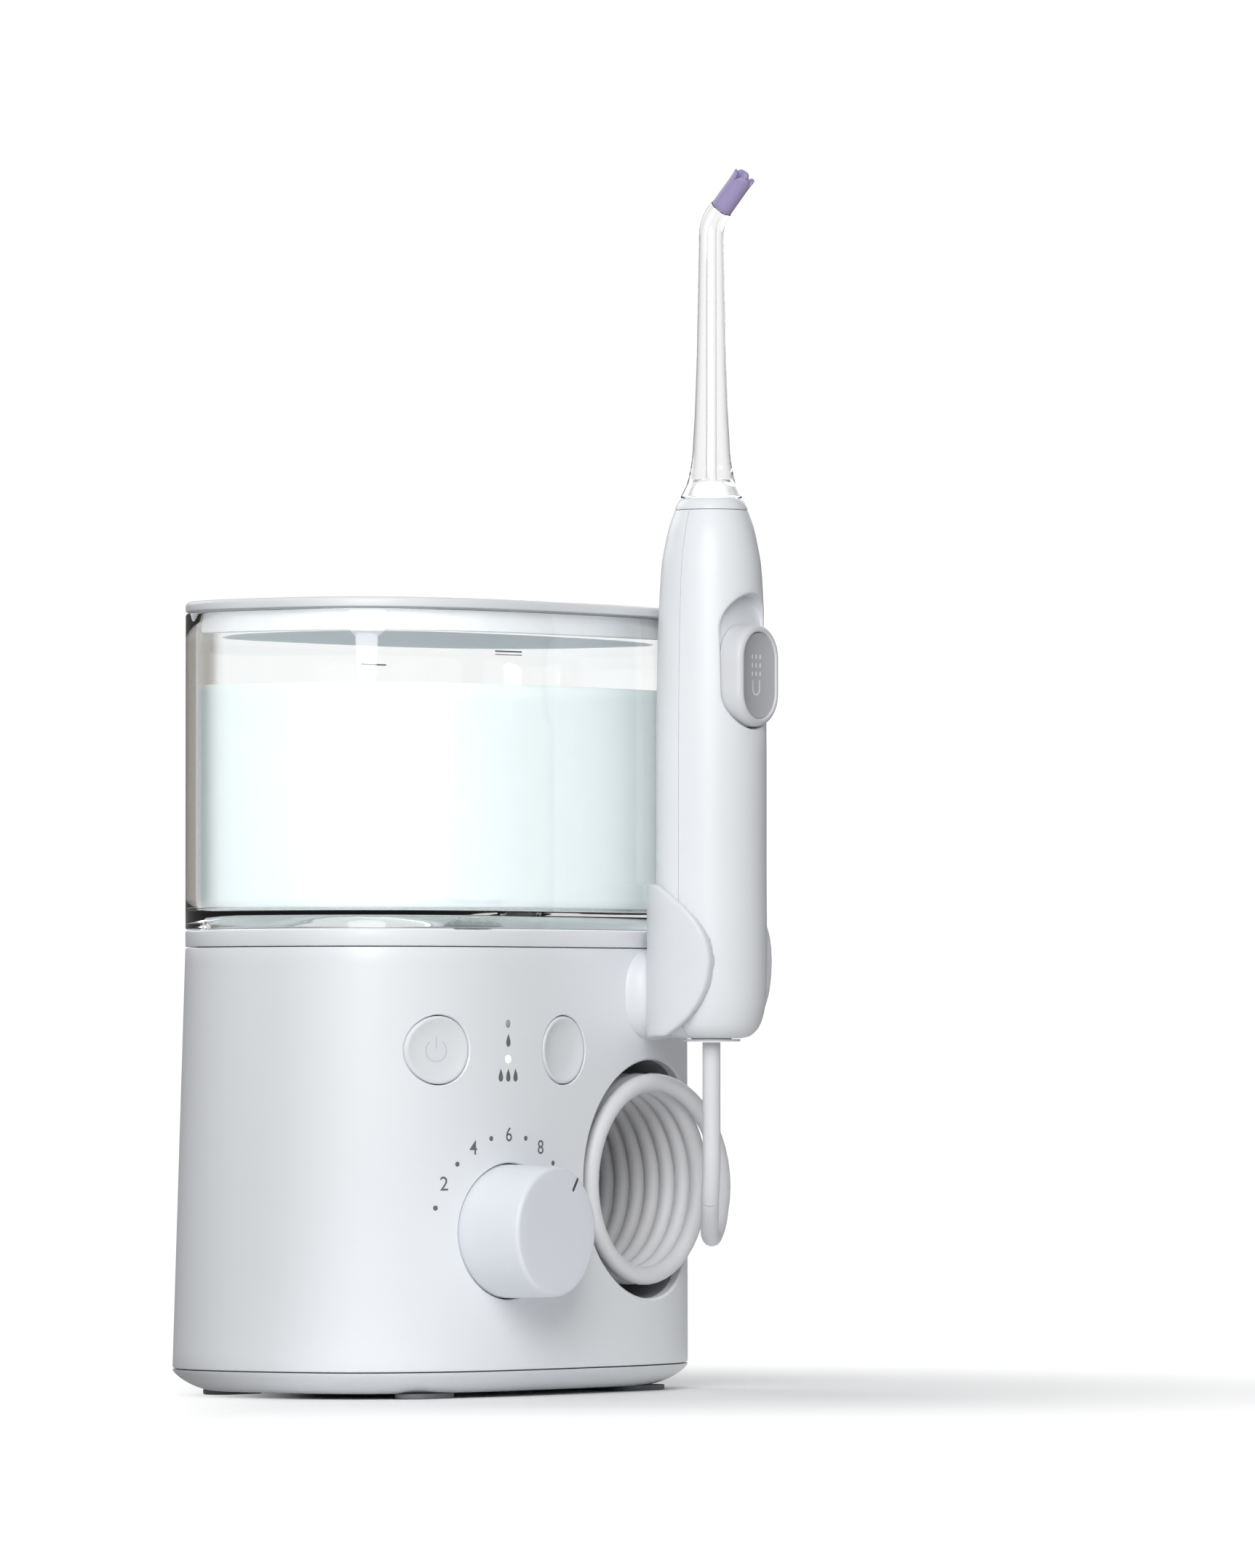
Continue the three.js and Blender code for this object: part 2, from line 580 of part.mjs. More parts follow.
function feedTube() {
  const { x, z } = KNOB;
  const path = [[x - 12.7, -31, z], [x - 15, -30.9, z - 0.4], [-46, -29, 38], [-51.5, -16, 30], [-50, 3, 22],
    [-36, 20, 17], [-5, 27, 17], [22, 25, 21], [BAY.x - 1, 19.5, 27.8], [BAY.x, 15, BAY.z - COIL.radius]];
  return pipe(through(path), 18, 2.2, 1.2, 6);
}

/** The barbed fitting through the back of the bay that joins hose and feed tube. */
function hoseFitting() {
  const z = BAY.z - COIL.radius;
  const profile = [[0.9, 3.9], [4.8, 3.9], [4.8, BAY.floor - 0.1], [2.9, BAY.floor - 0.1], [2.9, 9.6], [2, 9.6],
    [2, 14], [0.9, 14], [0.9, 3.9]];
  return turnedY(profile, BAY.x, z, 12);
}

function inletSeal() {
  const low = VALVE.seat + 2.2;
  const profile = [[3, low], [6, low], [6, low + 2.4], [3, low + 2.4], [3, low]];
  return turnedZ(profile, VALVE.x, VALVE.y, 14);
}

/** The mains supply: a board with its transformer and capacitor. */
function powerSupply() {
  const board = box([-20, 34, 34], [40, 35.6, 96]);
  const core = box([2, 19, 58], [24, 34.5, 78]);
  const winding = bar([13, 26.4, 54], [13, 26.4, 82], 6.5, 6.5, 14);
  const capacitor = bar([-10, 34.5, 76], [-10, 17, 76], 6, 6, 14);
  return join(board, core, winding, capacitor);
}

function strainRelief() {
  const { x, z, radius } = CORD;
  const bore = radius + 0.2;
  const profile = [[bore, 38], [6.4, 38], [6.4, 41], [4.5, 41], [4.5, 49.5], [3.1, CORD.relief], [bore, CORD.relief],
    [bore, 38]];
  return turnedY(profile, x, z, 14);
}

/** The power cord's centre line: out of the back, then a hank laid on the ground, then the plug. */
function cordCurve() {
  const floor = CORD.radius + 0.1;
  const points = [[CORD.x, 37, CORD.z], [CORD.x, 47, CORD.z], [CORD.x, CORD.relief + 1, CORD.z], [35, 62, 21.6],
    [38.5, 68.6, 19.8], [44.5, 72.6, 16.6]];
  const lapSteps = 12;
  const steps = HANK.laps * lapSteps;
  for (let i = 0; i <= steps; i += 1) {
    const angle = Math.PI / 2 - (2 * Math.PI * i) / lapSteps;
    const x = HANK.x + HANK.halfLength * Math.cos(angle);
    const y = HANK.y + HANK.halfWidth * Math.sin(angle);
    points.push([x, y, floor + HANK.rise * (HANK.laps - i / lapSteps)]);
  }
  points.push([43, 52.6, floor], [37, 55.8, floor], [PLUG.x + 3, PLUG.y, floor], [PLUG.x + 0.8, PLUG.y, floor]);
  return through(points);
}

function powerCord() {
  return pipe(cordCurve(), 56, CORD.radius, 0, 6);
}

/** A flat two-pin plug at the end of the cord, lying on the ground with its pins to the left. */
function plug() {
  const shape = new THREE.Shape();
  shape.moveTo(0, -4);
  shape.lineTo(0, 4);
  shape.lineTo(-12, 7.5);
  shape.lineTo(-25, 7.5);
  shape.lineTo(-25, -7.5);
  shape.lineTo(-12, -7.5);
  shape.closePath();
  const body = solidOf(new THREE.ExtrudeGeometry(shape, { depth: 10, bevelEnabled: false }));
  const pins = [-4.8, 4.8].map((across) => bar([-24, across, 5], [-37, across, 5], 2, 1.8, 8));
  return join(body, ...pins).translate(PLUG.x, PLUG.y, 0.1);
}

// ---------------------------------------------------------------- tank and lid

function tankShell() {
  const outer = planSolid(DECK_TOP + 0.2, TANK_TOP);
  const cavity = planSolid(TANK_FLOOR_Z + 2, TANK_TOP + 1, TANK_WALL);
  const recess = planSolid(DECK_TOP - 1, TANK_FLOOR_Z, TANK_WALL);
  const { x, y, tip, top, bottom } = VALVE;
  const boss = bar([x, y, tip], [x, y, TANK_FLOOR_Z + 1], bottom, top, 16);
  const spigot = barZ(x, y, tip - 1.4, tip + 1, 3.9, 12);
  const bore = barZ(x, y, tip - 3, TANK_FLOOR_Z + 3, 2.6, 12);
  const seat = barZ(x, y, TANK_FLOOR_Z - 0.6, TANK_FLOOR_Z + 3, 6.4, 14);
  return cut(join(cut(outer, cavity, recess), boss, spigot), bore, seat);
}

/** The rubber valve in the tank's floor: a flange with a split bill below it. */
function tankValve() {
  const { x, y, tip } = VALVE;
  const low = TANK_FLOOR_Z - 0.5;
  const profile = [[0.9, tip - 1], [2.3, tip - 1], [2.3, low], [6.1, low], [6.1, low + 2.2], [4.4, low + 3.4],
    [0.9, low + 3.4], [0.9, tip - 1]];
  return turnedZ(profile, x, y, 12);
}

function lid() {
  const rings = [[LID_RIM_Z, 0.5], [LID_RIM_Z + 0.5, 0], [LID_TOP - 0.9, 0], [LID_TOP - 0.25, 0.4], [LID_TOP, 1.2]];
  const plate = loft(rings.map(([z, inset]) => planRing(z, inset)));
  const skirt = cut(
    planSolid(LID_SKIRT_Z, LID_RIM_Z + 0.5, SKIRT_INSET),
    planSolid(LID_SKIRT_Z - 1, LID_RIM_Z, SKIRT_INSET + 1.8),
  );
  const thumbDish = new THREE.SphereGeometry(1, 12, 6);
  thumbDish.scale(13, 7, 1.3);
  thumbDish.translate(0, -HALF_DEPTH + 14, LID_TOP + 0.1);
  return cut(join(plate, skirt), solidOf(thumbDish));
}

// ---------------------------------------------------------------- handle

const HANDLE_PROFILE = [[7.3, 87.9], [9.6, 88.5], [11.7, 90.6], [13.1, 94.6], [13.65, 100], [13.65, 165],
  [13.3, 187], [12.9, 196.5], [12.3, 205.5], [11.5, 210.1], [10.5, 214.6], [9.07, 218.7]];

const HANDLE_SIDES = 24;

function handleHull() {
  const { x, y, top } = HANDLE;
  return turnedZ([[0, 87.9], ...HANDLE_PROFILE, [0, top]], x, y, HANDLE_SIDES);
}

function handleHollow() {
  const { x, y, wall, top } = HANDLE;
  const profile = [[0, 90], [9.2, 90], [13.65 - wall, 98], [13.65 - wall, 167], [12.3 - wall, 204.5], [7.27, top],
    [7.27, top + 1], [0, top + 1]];
  return turnedZ(profile, x, y, HANDLE_SIDES);
}

function sliderPocket() {
  const { low, high, halfWidth, depth } = POCKET;
  return slabY(slotShape(HANDLE.x, low, high, halfWidth), HANDLE.y - 20, HANDLE.y - 13.65 + depth, 6);
}

/** The handle's shell, open at the top for the collar and at the bottom for the hose. */
function handleShell() {
  const { x, y, bottom } = HANDLE;
  const hull = handleHull();
  const hollow = handleHollow();
  const hoseHole = barZ(x, y, bottom - 1, 92, 5.2, 16);
  const pocketWall = slabY(slotShape(x, POCKET.low - 1.2, POCKET.high + 1.2, POCKET.halfWidth + 1.2),
    y - 12.5, y - 13.65 + POCKET.depth + 1.2, 6);
  const liner = common(pocketWall, hull);
  const stemSlot = slabY(slotShape(x, 170, 193, 2.6), y - 20, y, 3);
  return cut(join(cut(hull, hollow), liner), hoseHole, sliderPocket(), stemSlot);
}

const halfSpace = (front) => {
  const { x, y } = HANDLE;
  return front ? box([x - 20, y - 30, 80], [x + 20, y - 0.1, 230]) : box([x - 20, y + 0.1, 80], [x + 20, y + 30, 230]);
};

/** The cap at the foot of the handle, with the hose's gland. */
function handleCap() {
  const profile = [[2.6, 87.1], [7.2, 87.1], [7.2, 87.7], [5, 87.7], [5, 95], [2.6, 95], [2.6, 87.1]];
  return turnedZ(profile, HANDLE.x, HANDLE.y, 16);
}

function handleTube() {
  const { x, y } = HANDLE;
  return pipe(new THREE.LineCurve3(new THREE.Vector3(x, y, 96), new THREE.Vector3(x, y + 3, 171.8)), 1, 2.2, 1.3, 6);
}

/** The stop valve behind the slider, and the pipe from it to the nozzle. */
function flowValve() {
  const { x, y } = HANDLE;
  const block = box([x - 5, y - 1.6, 172], [x + 5, y + 7.4, 196]);
  const pipeUp = bar([x, y + 3, 195], [x, y, 204], 3, 3, 10);
  const cup = barZ(x, y, 203, 207.2, 5.6, 14);
  const bore = barZ(x, y, 203.5, 209, 4.2, 12);
  const way = join(barZ(x, y + 3, 170, 196, 1.2, 8), bar([x, y + 3, 195], [x, y, 205], 1.2, 1.2, 8));
  const shuttleWay = box([x - 2.3, y - 3, 173.5], [x + 2.3, y + 0.4, 194.5]);
  return cut(join(block, pipeUp, cup), bore, way, shuttleWay);
}

/** The slider with its dished face, and the shuttle that it moves in the stop valve. */
function slideSwitch() {
  const { low, high, halfWidth } = SLIDER;
  const { x, y } = HANDLE;
  const face = y - 15.1;
  const body = slabY(slotShape(x, low, high, halfWidth), face + 1, y - 13.65 + POCKET.depth - GAP, 7);
  const crown = slabY(slotShape(x, low + 0.6, high - 0.6, halfWidth - 0.6), face, face + 1.1, 7);
  const dish = slabY(slotShape(x, low + 2.2, high - 2.4, halfWidth - 2.2), face - 1, face + 0.7, 7);
  const stem = box([x - 1.8, y - 10, 176], [x + 1.8, y - 2, 180]);
  const shuttle = box([x - 2, y - 2.1, 175], [x + 2, y + 0.1, 186]);
  return join(cut(join(body, crown), dish), stem, shuttle);
}

function nozzleCollar() {
  const { low, high, bore } = COLLAR;
  const profile = [[bore, 208], [6.6, 208], [6.6, low], [9.0, low], [8.5, low + 1.2], [7.3, high], [bore, high],
    [bore, 208]];
  return turnedZ(profile, HANDLE.x, HANDLE.y, 20);
}

// ---------------------------------------------------------------- nozzle

/** The nozzle's centre line: straight up, then a bend towards the front. */
function nozzlePoint(travel) {
  const bendLength = THREE.MathUtils.degToRad(BEND_DEG) * BEND_RADIUS;
  const turned = THREE.MathUtils.clamp(travel / BEND_RADIUS, 0, bendLength / BEND_RADIUS);
  const past = Math.max(travel - bendLength, 0);
  const straight = Math.min(travel, 0);
  const ahead = BEND_RADIUS * (1 - Math.cos(turned)) + past * Math.sin(turned);
  const up = straight + BEND_RADIUS * Math.sin(turned) + past * Math.cos(turned);
  return { position: new THREE.Vector3(HANDLE.x, HANDLE.y - ahead, BEND_Z + up), turned };
}

/** A round solid along the nozzle's centre line; stations list [travel, radius]. */
function alongNozzle(stations, sides = 14) {
  return loft(stations.map(([travel, radius]) => {
    const { position, turned } = nozzlePoint(travel);
    const ring = [];
    for (let i = 0; i < sides; i += 1) {
      const angle = (2 * Math.PI * i) / sides;
      const across = radius * Math.sin(angle);
      const point = new THREE.Vector3(radius * Math.cos(angle), across * Math.cos(turned), across * Math.sin(turned));
      ring.push(point.add(position));
    }
    return ring;
  }));
}

const TIP_START = 7.4; // along the centre line, from where the bend begins

function nozzleStem() {
  const outside = [[7.57, 221.9], [7.35, 222.6], [6.04, 225.4], [5.2, 229], [4.7, 232.6], [4.5, 236.2],
    [3.97, 247], [3.5, 264], [3.1, 285]].map(([r, z]) => [z - BEND_Z, r]);
  const bendStations = [0, 1.5, 3, 4.5, 5.95, TIP_START].map((travel) => [travel, 3.0 - 0.03 * travel]);
  const body = alongNozzle([...outside, ...bendStations]);
  const spigot = alongNozzle([[TIP_START - 0.5, 1.8], [TIP_START + 4.5, 1.8]], 10);
  const bore = alongNozzle([[215 - BEND_Z, 1.3], [-1, 1.3], [0, 1.2], [2, 1.2], [4, 1.1], [5.95, 1],
    [TIP_START + 6, 1]], 8);
  const skirtHollow = turnedZ([[0, 221], [6.5, 221], [6.5, 222.4], [4.9, 226.2], [0, 226.2]], HANDLE.x, HANDLE.y, 14);
  return cut(join(body, spigot), bore, skirtHollow);
}

/** The white plug that seats the nozzle in the collar. */
function nozzlePlug() {
  const profile = [[1.3, 208.2], [3.6, 208.2], [4, 209], [4, 210.6], [3.3, 210.6], [3.3, 212.4], [4.9, 212.4],
    [4.9, 222.6], [3.4, 225.9], [1.3, 225.9], [1.3, 208.2]];
  return turnedZ(profile, HANDLE.x, HANDLE.y, 14);
}

function nozzleSeal() {
  const profile = [[3.5, 210.8], [4.6, 210.8], [4.9, 211.5], [4.6, 212.2], [3.5, 212.2], [3.5, 210.8]];
  return turnedZ(profile, HANDLE.x, HANDLE.y, 14);
}

/** The soft tip: a sleeve on the stem with a notched, four-lobed mouth. */
function nozzleTip() {
  const start = TIP_START + 0.1;
  const end = start + TIP.length;
  const sleeve = alongNozzle([[start, TIP.radius], [start + 5, TIP.radius], [end - 3, 2.65], [end, 2.9]], 16);
  const socket = alongNozzle([[start - 1, TIP.bore], [start + 5.2, TIP.bore]], 10);
  const jet = alongNozzle([[start + 4, 0.8], [end - 3, 0.8], [end - 2.4, 1.3], [end + 1, 1.5]], 8);
  const { position, turned } = nozzlePoint(end);
  const notches = [0, 90].map((degrees) => {
    const groove = new THREE.CylinderGeometry(0.95, 0.95, 8, 8);
    groove.rotateZ(Math.PI / 2);
    groove.rotateZ(THREE.MathUtils.degToRad(degrees));
    groove.rotateX(turned);
    groove.translate(...position.toArray());
    return solidOf(groove);
  });
  return cut(sleeve, socket, jet, ...notches);
}

// ---------------------------------------------------------------- hose

/** A point of the coil, a helix about a line along Y, counted in turns from the front ring. */
function coilPoint(turns) {
  const angle = THREE.MathUtils.degToRad(COIL.startDeg) + turns * 2 * Math.PI;
  const x = BAY.x + COIL.radius * Math.cos(angle);
  const z = BAY.z + COIL.radius * Math.sin(angle);
  return [x, COIL.front + turns * COIL.pitch, z];
}

/** The coil, which ends in a bend to the fitting at the back of the bay. */
function hoseCoil() {
  const points = [];
  const steps = Math.round(COIL.turns * COIL_STEPS);
  for (let i = 0; i <= steps; i += 1) points.push(coilPoint(i / COIL_STEPS));
  const bottom = BAY.z - COIL.radius;
  points.push([BAY.x - 4.6, -1.4, bottom + 0.4], [BAY.x - 0.8, 0.4, bottom], [BAY.x, 3.2, bottom]);
  return pipe(through(points), steps + 6, HOSE_RADIUS, 0, 6);
}

/** The free end of the hose, from the handle down and round into the coil's front ring. */
function hoseLead() {
  const [ringX, ringY, ringZ] = coilPoint(0);
  const path = [[HANDLE.x, HANDLE.y, HANDLE.bottom - 0.3], [HANDLE.x, HANDLE.y, 70], [HANDLE.x, HANDLE.y, 56],
    [34.5, -58, 47.5], [39.5, -53.2, 42], [44.5, -49, 39], [49.5, -45.8, 38.4], [53, -44.4, 41.2],
    [ringX - 0.3, ringY - 0.1, ringZ - 0.8]];
  return pipe(through(path), 18, HOSE_RADIUS, 0, 8);
}

// ---------------------------------------------------------------- assembly

const FINISHES = {
  shell: { color: 0xeef0f2, roughness: 0.38, metalness: 0 },
  trim: { color: 0xe3e5e8, roughness: 0.42, metalness: 0 },
  slider: { color: 0xc9cbce, roughness: 0.5, metalness: 0 },
  hose: { color: 0xdcdde0, roughness: 0.55, metalness: 0 },
  clear: { color: 0xeaf4f7, roughness: 0.08, metalness: 0, transparent: true, opacity: 0.35 },
  lilac: { color: 0xa799c9, roughness: 0.5, metalness: 0 },
  rubber: { color: 0xcfd1d3, roughness: 0.8, metalness: 0 },
  darkRubber: { color: 0x2b2d30, roughness: 0.8, metalness: 0 },
  bay: { color: 0x9d9fa3, roughness: 0.6, metalness: 0 },
  board: { color: 0x2f6b46, roughness: 0.5, metalness: 0.1 },
  black: { color: 0x1c1d1f, roughness: 0.5, metalness: 0 },
  gear: { color: 0xf3efe2, roughness: 0.45, metalness: 0 },
  grey: { color: 0x8b8f94, roughness: 0.5, metalness: 0 },
  steel: { color: 0xb9bdc1, roughness: 0.3, metalness: 1 },
  brass: { color: 0xc8a24e, roughness: 0.35, metalness: 1 },
};

const flosser = new THREE.Group();

function place(name, solid, finish) {
  const mesh = new THREE.Mesh(geometryOf(solid), new THREE.MeshStandardMaterial(FINISHES[finish]));
  mesh.name = name;
  flosser.add(mesh);
}

function addBase() {
  place('base_housing', baseHousing(), 'shell');
  place('base_deck', baseDeck(), 'shell');
  place('bottom_cover', bottomCover(), 'trim');
  const corners = ['front_left', 'front_right', 'rear_left', 'rear_right'];
  corners.forEach((corner, i) => {
    place(`foot_${corner}`, foot(FOOT_SPOTS[i]), 'rubber');
    place(`cover_screw_${corner}`, coverScrew(SCREW_SPOTS[i]), 'steel');
  });
  place('hose_bay', hoseBay(), 'bay');
  place('handle_cradle', handleCradle(), 'trim');
}

function addControls() {
  place('power_button', button(BUTTON.left), 'shell');
  place('mode_button', button(BUTTON.right), 'shell');
  place('control_board', controlBoard(), 'board');
  place('power_tact_switch', tactSwitch(BUTTON.left), 'black');
  place('mode_tact_switch', tactSwitch(BUTTON.right), 'black');
  place('upper_light_pipe', lightPipe(LED.upper), 'clear');
  place('lower_light_pipe', lightPipe(LED.lower), 'clear');
  place('pressure_knob', pressureKnob(), 'shell');
  place('knob_shaft', knobShaft(), 'grey');
  place('pressure_valve', pressureValve(), 'grey');
}

function addPump() {
  place('pump_plate', pumpPlate(), 'steel');
  place('motor_can', motorCan(), 'steel');
  place('motor_armature', motorArmature(), 'brass');
  place('motor_pinion', motorPinion(), 'brass');
  place('crank_gear', crankGear(), 'gear');
  place('connecting_rod', connectingRod(), 'gear');
  place('pump_piston', pumpPiston(), 'grey');
  place('pump_cylinder', pumpCylinder(), 'grey');
  place('pump_head', pumpHead(), 'grey');
  place('inlet_check_valve', checkValve(GEAR.x + 4, PUMP_Y), 'darkRubber');
  place('outlet_check_valve', checkValve(GEAR.x - 2, PUMP_Y - 3.4), 'darkRubber');
}

function addLines() {
  place('inlet_seal', inletSeal(), 'darkRubber');
  place('inlet_tube', inletTube(), 'hose');
  place('pressure_tube', pressureTube(), 'hose');
  place('feed_tube', feedTube(), 'hose');
  place('hose_fitting', hoseFitting(), 'brass');
  place('power_supply', powerSupply(), 'board');
  place('strain_relief', strainRelief(), 'rubber');
  place('power_cord', powerCord(), 'hose');
  place('power_plug', plug(), 'hose');
}

function addTank() {
  place('tank_shell', tankShell(), 'clear');
  place('tank_valve', tankValve(), 'darkRubber');
  place('tank_lid', lid(), 'trim');
}

function addHandle() {
  const shell = handleShell();
  place('handle_front_shell', common(shell, halfSpace(true)), 'shell');
  place('handle_rear_shell', common(shell, halfSpace(false)), 'shell');
  place('handle_cap', handleCap(), 'trim');
  place('handle_tube', handleTube(), 'hose');
  place('flow_valve', flowValve(), 'grey');
  place('slide_switch', slideSwitch(), 'slider');
  place('nozzle_collar', nozzleCollar(), 'shell');
  place('nozzle_stem', nozzleStem(), 'clear');
  place('nozzle_plug', nozzlePlug(), 'trim');
  place('nozzle_seal', nozzleSeal(), 'darkRubber');
  place('nozzle_tip', nozzleTip(), 'lilac');
  place('hose_coil', hoseCoil(), 'hose');
  place('hose_lead', hoseLead(), 'hose');
}

addBase();
addControls();
addPump();
addLines();
addTank();
addHandle();

export default flosser;
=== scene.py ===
import math

import bmesh
import bpy
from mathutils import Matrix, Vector


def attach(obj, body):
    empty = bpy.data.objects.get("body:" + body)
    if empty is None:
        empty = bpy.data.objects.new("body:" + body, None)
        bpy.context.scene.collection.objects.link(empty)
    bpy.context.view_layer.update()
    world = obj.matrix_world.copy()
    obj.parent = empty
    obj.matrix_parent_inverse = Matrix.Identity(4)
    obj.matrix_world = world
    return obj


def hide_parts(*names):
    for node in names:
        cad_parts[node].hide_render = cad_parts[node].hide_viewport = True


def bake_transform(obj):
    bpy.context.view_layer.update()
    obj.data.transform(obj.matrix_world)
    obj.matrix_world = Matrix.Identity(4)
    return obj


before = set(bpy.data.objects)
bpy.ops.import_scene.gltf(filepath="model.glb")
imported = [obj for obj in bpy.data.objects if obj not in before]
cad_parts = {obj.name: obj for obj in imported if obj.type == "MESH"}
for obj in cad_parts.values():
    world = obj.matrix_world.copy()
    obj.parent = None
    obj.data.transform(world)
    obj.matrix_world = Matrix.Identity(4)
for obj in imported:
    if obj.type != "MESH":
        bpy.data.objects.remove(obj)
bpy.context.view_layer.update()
scene = bpy.context.scene

# Lengths are in millimetres up to the stage section; object_from turns them into metres.
MM = 0.001
TAU = 2 * math.pi

# ---------------------------------------------------------------- dimensions of the frame

# The plan is a superellipse. From the seam down to the crease it grows, and its middle moves back.
HALF_WIDTH, HALF_DEPTH, PLAN_EXPONENT = 71.4, 44.1, 2.95
FLARE_OUT, FLARE_BACK = 1.5, 1.84
FOOT_Z, CREASE_Z, SEAM_Z, DECK_TOP = 1.3, 6.8, 110.1, 114.4
TANK_TOP, LID_RIM_Z, LID_TOP, LID_SKIRT_Z = 192.4, 192.7, 195.3, 187.0
WALL = 2.4
WATER_Z = 174.1
PLAN_POINTS = 240

BUTTON_Z, BUTTON_RADIUS = 85.0, 8.3
POWER_X, MODE_X = -49.1, -6.4
LED_X, LED_UPPER, LED_LOWER = -27.7, 91.4, 82.8
KNOB_X, KNOB_Z = -27.0, 40.7
BAY_X, BAY_Z, BAY_RADIUS = 31.7, 52.9, 29.7
HANDLE_X, HANDLE_Y = 32.0, -60.7
HOSE_RADIUS = 2.25
COIL_RADIUS, COIL_PITCH, COIL_TURNS, COIL_STEPS = 24.1, 4.7, 8.72, 48
VALVE_Y = -10.8
CORD_X, CORD_Z = 34, 22
DIAL_MIDDLE_X, SCALE_RADIUS, SCALE_STEP = KNOB_X - 0.4, 23.5, 30.2
SCREW_SPOTS = [(-54, -12), (54, -12), (-54, 12), (54, 12)]
FOOT_SPOTS = {"front_left": (-43, -29), "front_right": (43, -29),
              "rear_left": (-43, 31), "rear_right": (43, 31)}


# ---------------------------------------------------------------- materials

def new_material(name):
    mat = bpy.data.materials.new(name)
    mat.use_nodes = True
    return mat, mat.node_tree, mat.node_tree.nodes["Principled BSDF"]


def set_inputs(tree, node, inputs):
    """Links the sockets and sets the plain values; a colour gets its alpha here."""
    for key, value in inputs.items():
        socket = node.inputs[key]
        if isinstance(value, bpy.types.NodeSocket):
            tree.links.new(value, socket)
        else:
            socket.default_value = (*value, 1) if socket.type == "RGBA" else value


def add_node(tree, kind, inputs=None, **settings):
    node = tree.nodes.new(kind)
    for key, value in settings.items():
        setattr(node, key, value)
    set_inputs(tree, node, inputs or {})
    return node


def maths(tree, operation, first, second=0.0):
    return add_node(tree, "ShaderNodeMath", {0: first, 1: second}, operation=operation).outputs[0]


def dot_product(tree, vector, direction):
    node = add_node(tree, "ShaderNodeVectorMath", {0: vector, 1: direction}, operation="DOT_PRODUCT")
    return node.outputs["Value"]


def ease(tree, value, start, end):
    """0 below start and 1 above end, with a smooth step between."""
    limits = {"Value": value, "From Min": start, "From Max": end, "To Min": 0.0, "To Max": 1.0}
    return add_node(tree, "ShaderNodeMapRange", limits, interpolation_type="SMOOTHSTEP").outputs["Result"]


def blend_shaders(tree, share, first, second):
    return add_node(tree, "ShaderNodeMixShader", {0: share, 1: first, 2: second}).outputs["Shader"]


def blend_colours(tree, share, first, second):
    inputs = {"Factor": share, "A": first, "B": second}
    return add_node(tree, "ShaderNodeMix", inputs, data_type="RGBA").outputs["Result"]


def bump(tree, height, depth_mm, strength=1.0):
    inputs = {"Height": height, "Strength": strength, "Distance": depth_mm * MM}
    return add_node(tree, "ShaderNodeBump", inputs).outputs["Normal"]


def show_surface(tree, shader):
    tree.links.new(shader, tree.nodes["Material Output"].inputs["Surface"])


def noise_value(tree, size_mm, detail=2.0, stretch=(1, 1, 1)):
    """A noise with features of about size_mm, fixed to the object."""
    coords = add_node(tree, "ShaderNodeTexCoord")
    mapping = add_node(tree, "ShaderNodeMapping", {"Vector": coords.outputs["Object"], "Scale": stretch})
    inputs = {"Vector": mapping.outputs["Vector"], "Scale": 1 / (size_mm * MM), "Detail": detail}
    return add_node(tree, "ShaderNodeTexNoise", inputs).outputs["Fac"]


def ranged(tree, value, low, high):
    """The middle part of a noise, from 0.3 to 0.7, stretched to run from low to high."""
    inputs = {"Value": value, "From Min": 0.3, "From Max": 0.7, "To Min": low, "To Max": high}
    return add_node(tree, "ShaderNodeMapRange", inputs).outputs["Result"]


def varied_colour(tree, noise, colour, spread):
    """The colour, up to spread darker where the noise is low."""
    return blend_colours(tree, ranged(tree, noise, 0, 1), [c * (1 - spread) for c in colour], colour)


def linear(*srgb):
    """A display colour, 0 to 255, as linear values."""
    out = []
    for c in srgb:
        c = c / 255
        out.append(c / 12.92 if c <= 0.04045 else ((c + 0.055) / 1.055) ** 2.4)
    return tuple(out)


def moulded(name, colour, roughness=0.4, grain=0.35, depth=0.006, patch=22, spread=0.03, swing=0.06,
            metallic=0.0, stretch=(1, 1, 1), sheen=0.0, subsurface=0.0):
    """Moulded plastic, rubber or metal: a fine grain, with slow changes in colour and gloss."""
    mat, tree, bsdf = new_material(name)
    slow = noise_value(tree, patch, 3.0)
    fine = noise_value(tree, grain, 3.0, stretch)
    rough = maths(tree, "ADD", ranged(tree, slow, roughness - swing, roughness + swing),
                  ranged(tree, fine, -swing / 2, swing / 2))
    set_inputs(tree, bsdf, {
        "Base Color": varied_colour(tree, slow, colour, spread), "Roughness": rough, "Metallic": metallic,
        "Normal": bump(tree, fine, depth), "IOR": 1.48, "Sheen Weight": sheen})
    if subsurface:
        reach = (0.0012, 0.001, 0.0009)
        set_inputs(tree, bsdf, {"Subsurface Weight": subsurface, "Subsurface Radius": reach})
    return mat


def painted_grazing_shade(tree, colour, start, end, edge):
    """Painted shade: the colour, fading to edge where an upright surface turns away from the viewer."""
    facing = add_node(tree, "ShaderNodeLayerWeight", {"Blend": 0.5}).outputs["Facing"]
    normal = add_node(tree, "ShaderNodeNewGeometry").outputs["Normal"]
    level = maths(tree, "ABSOLUTE", dot_product(tree, normal, (0, 0, 1)))
    share = maths(tree, "MULTIPLY", ease(tree, facing, start, end), maths(tree, "SUBTRACT", 1.0, level))
    return blend_colours(tree, share, colour, edge)


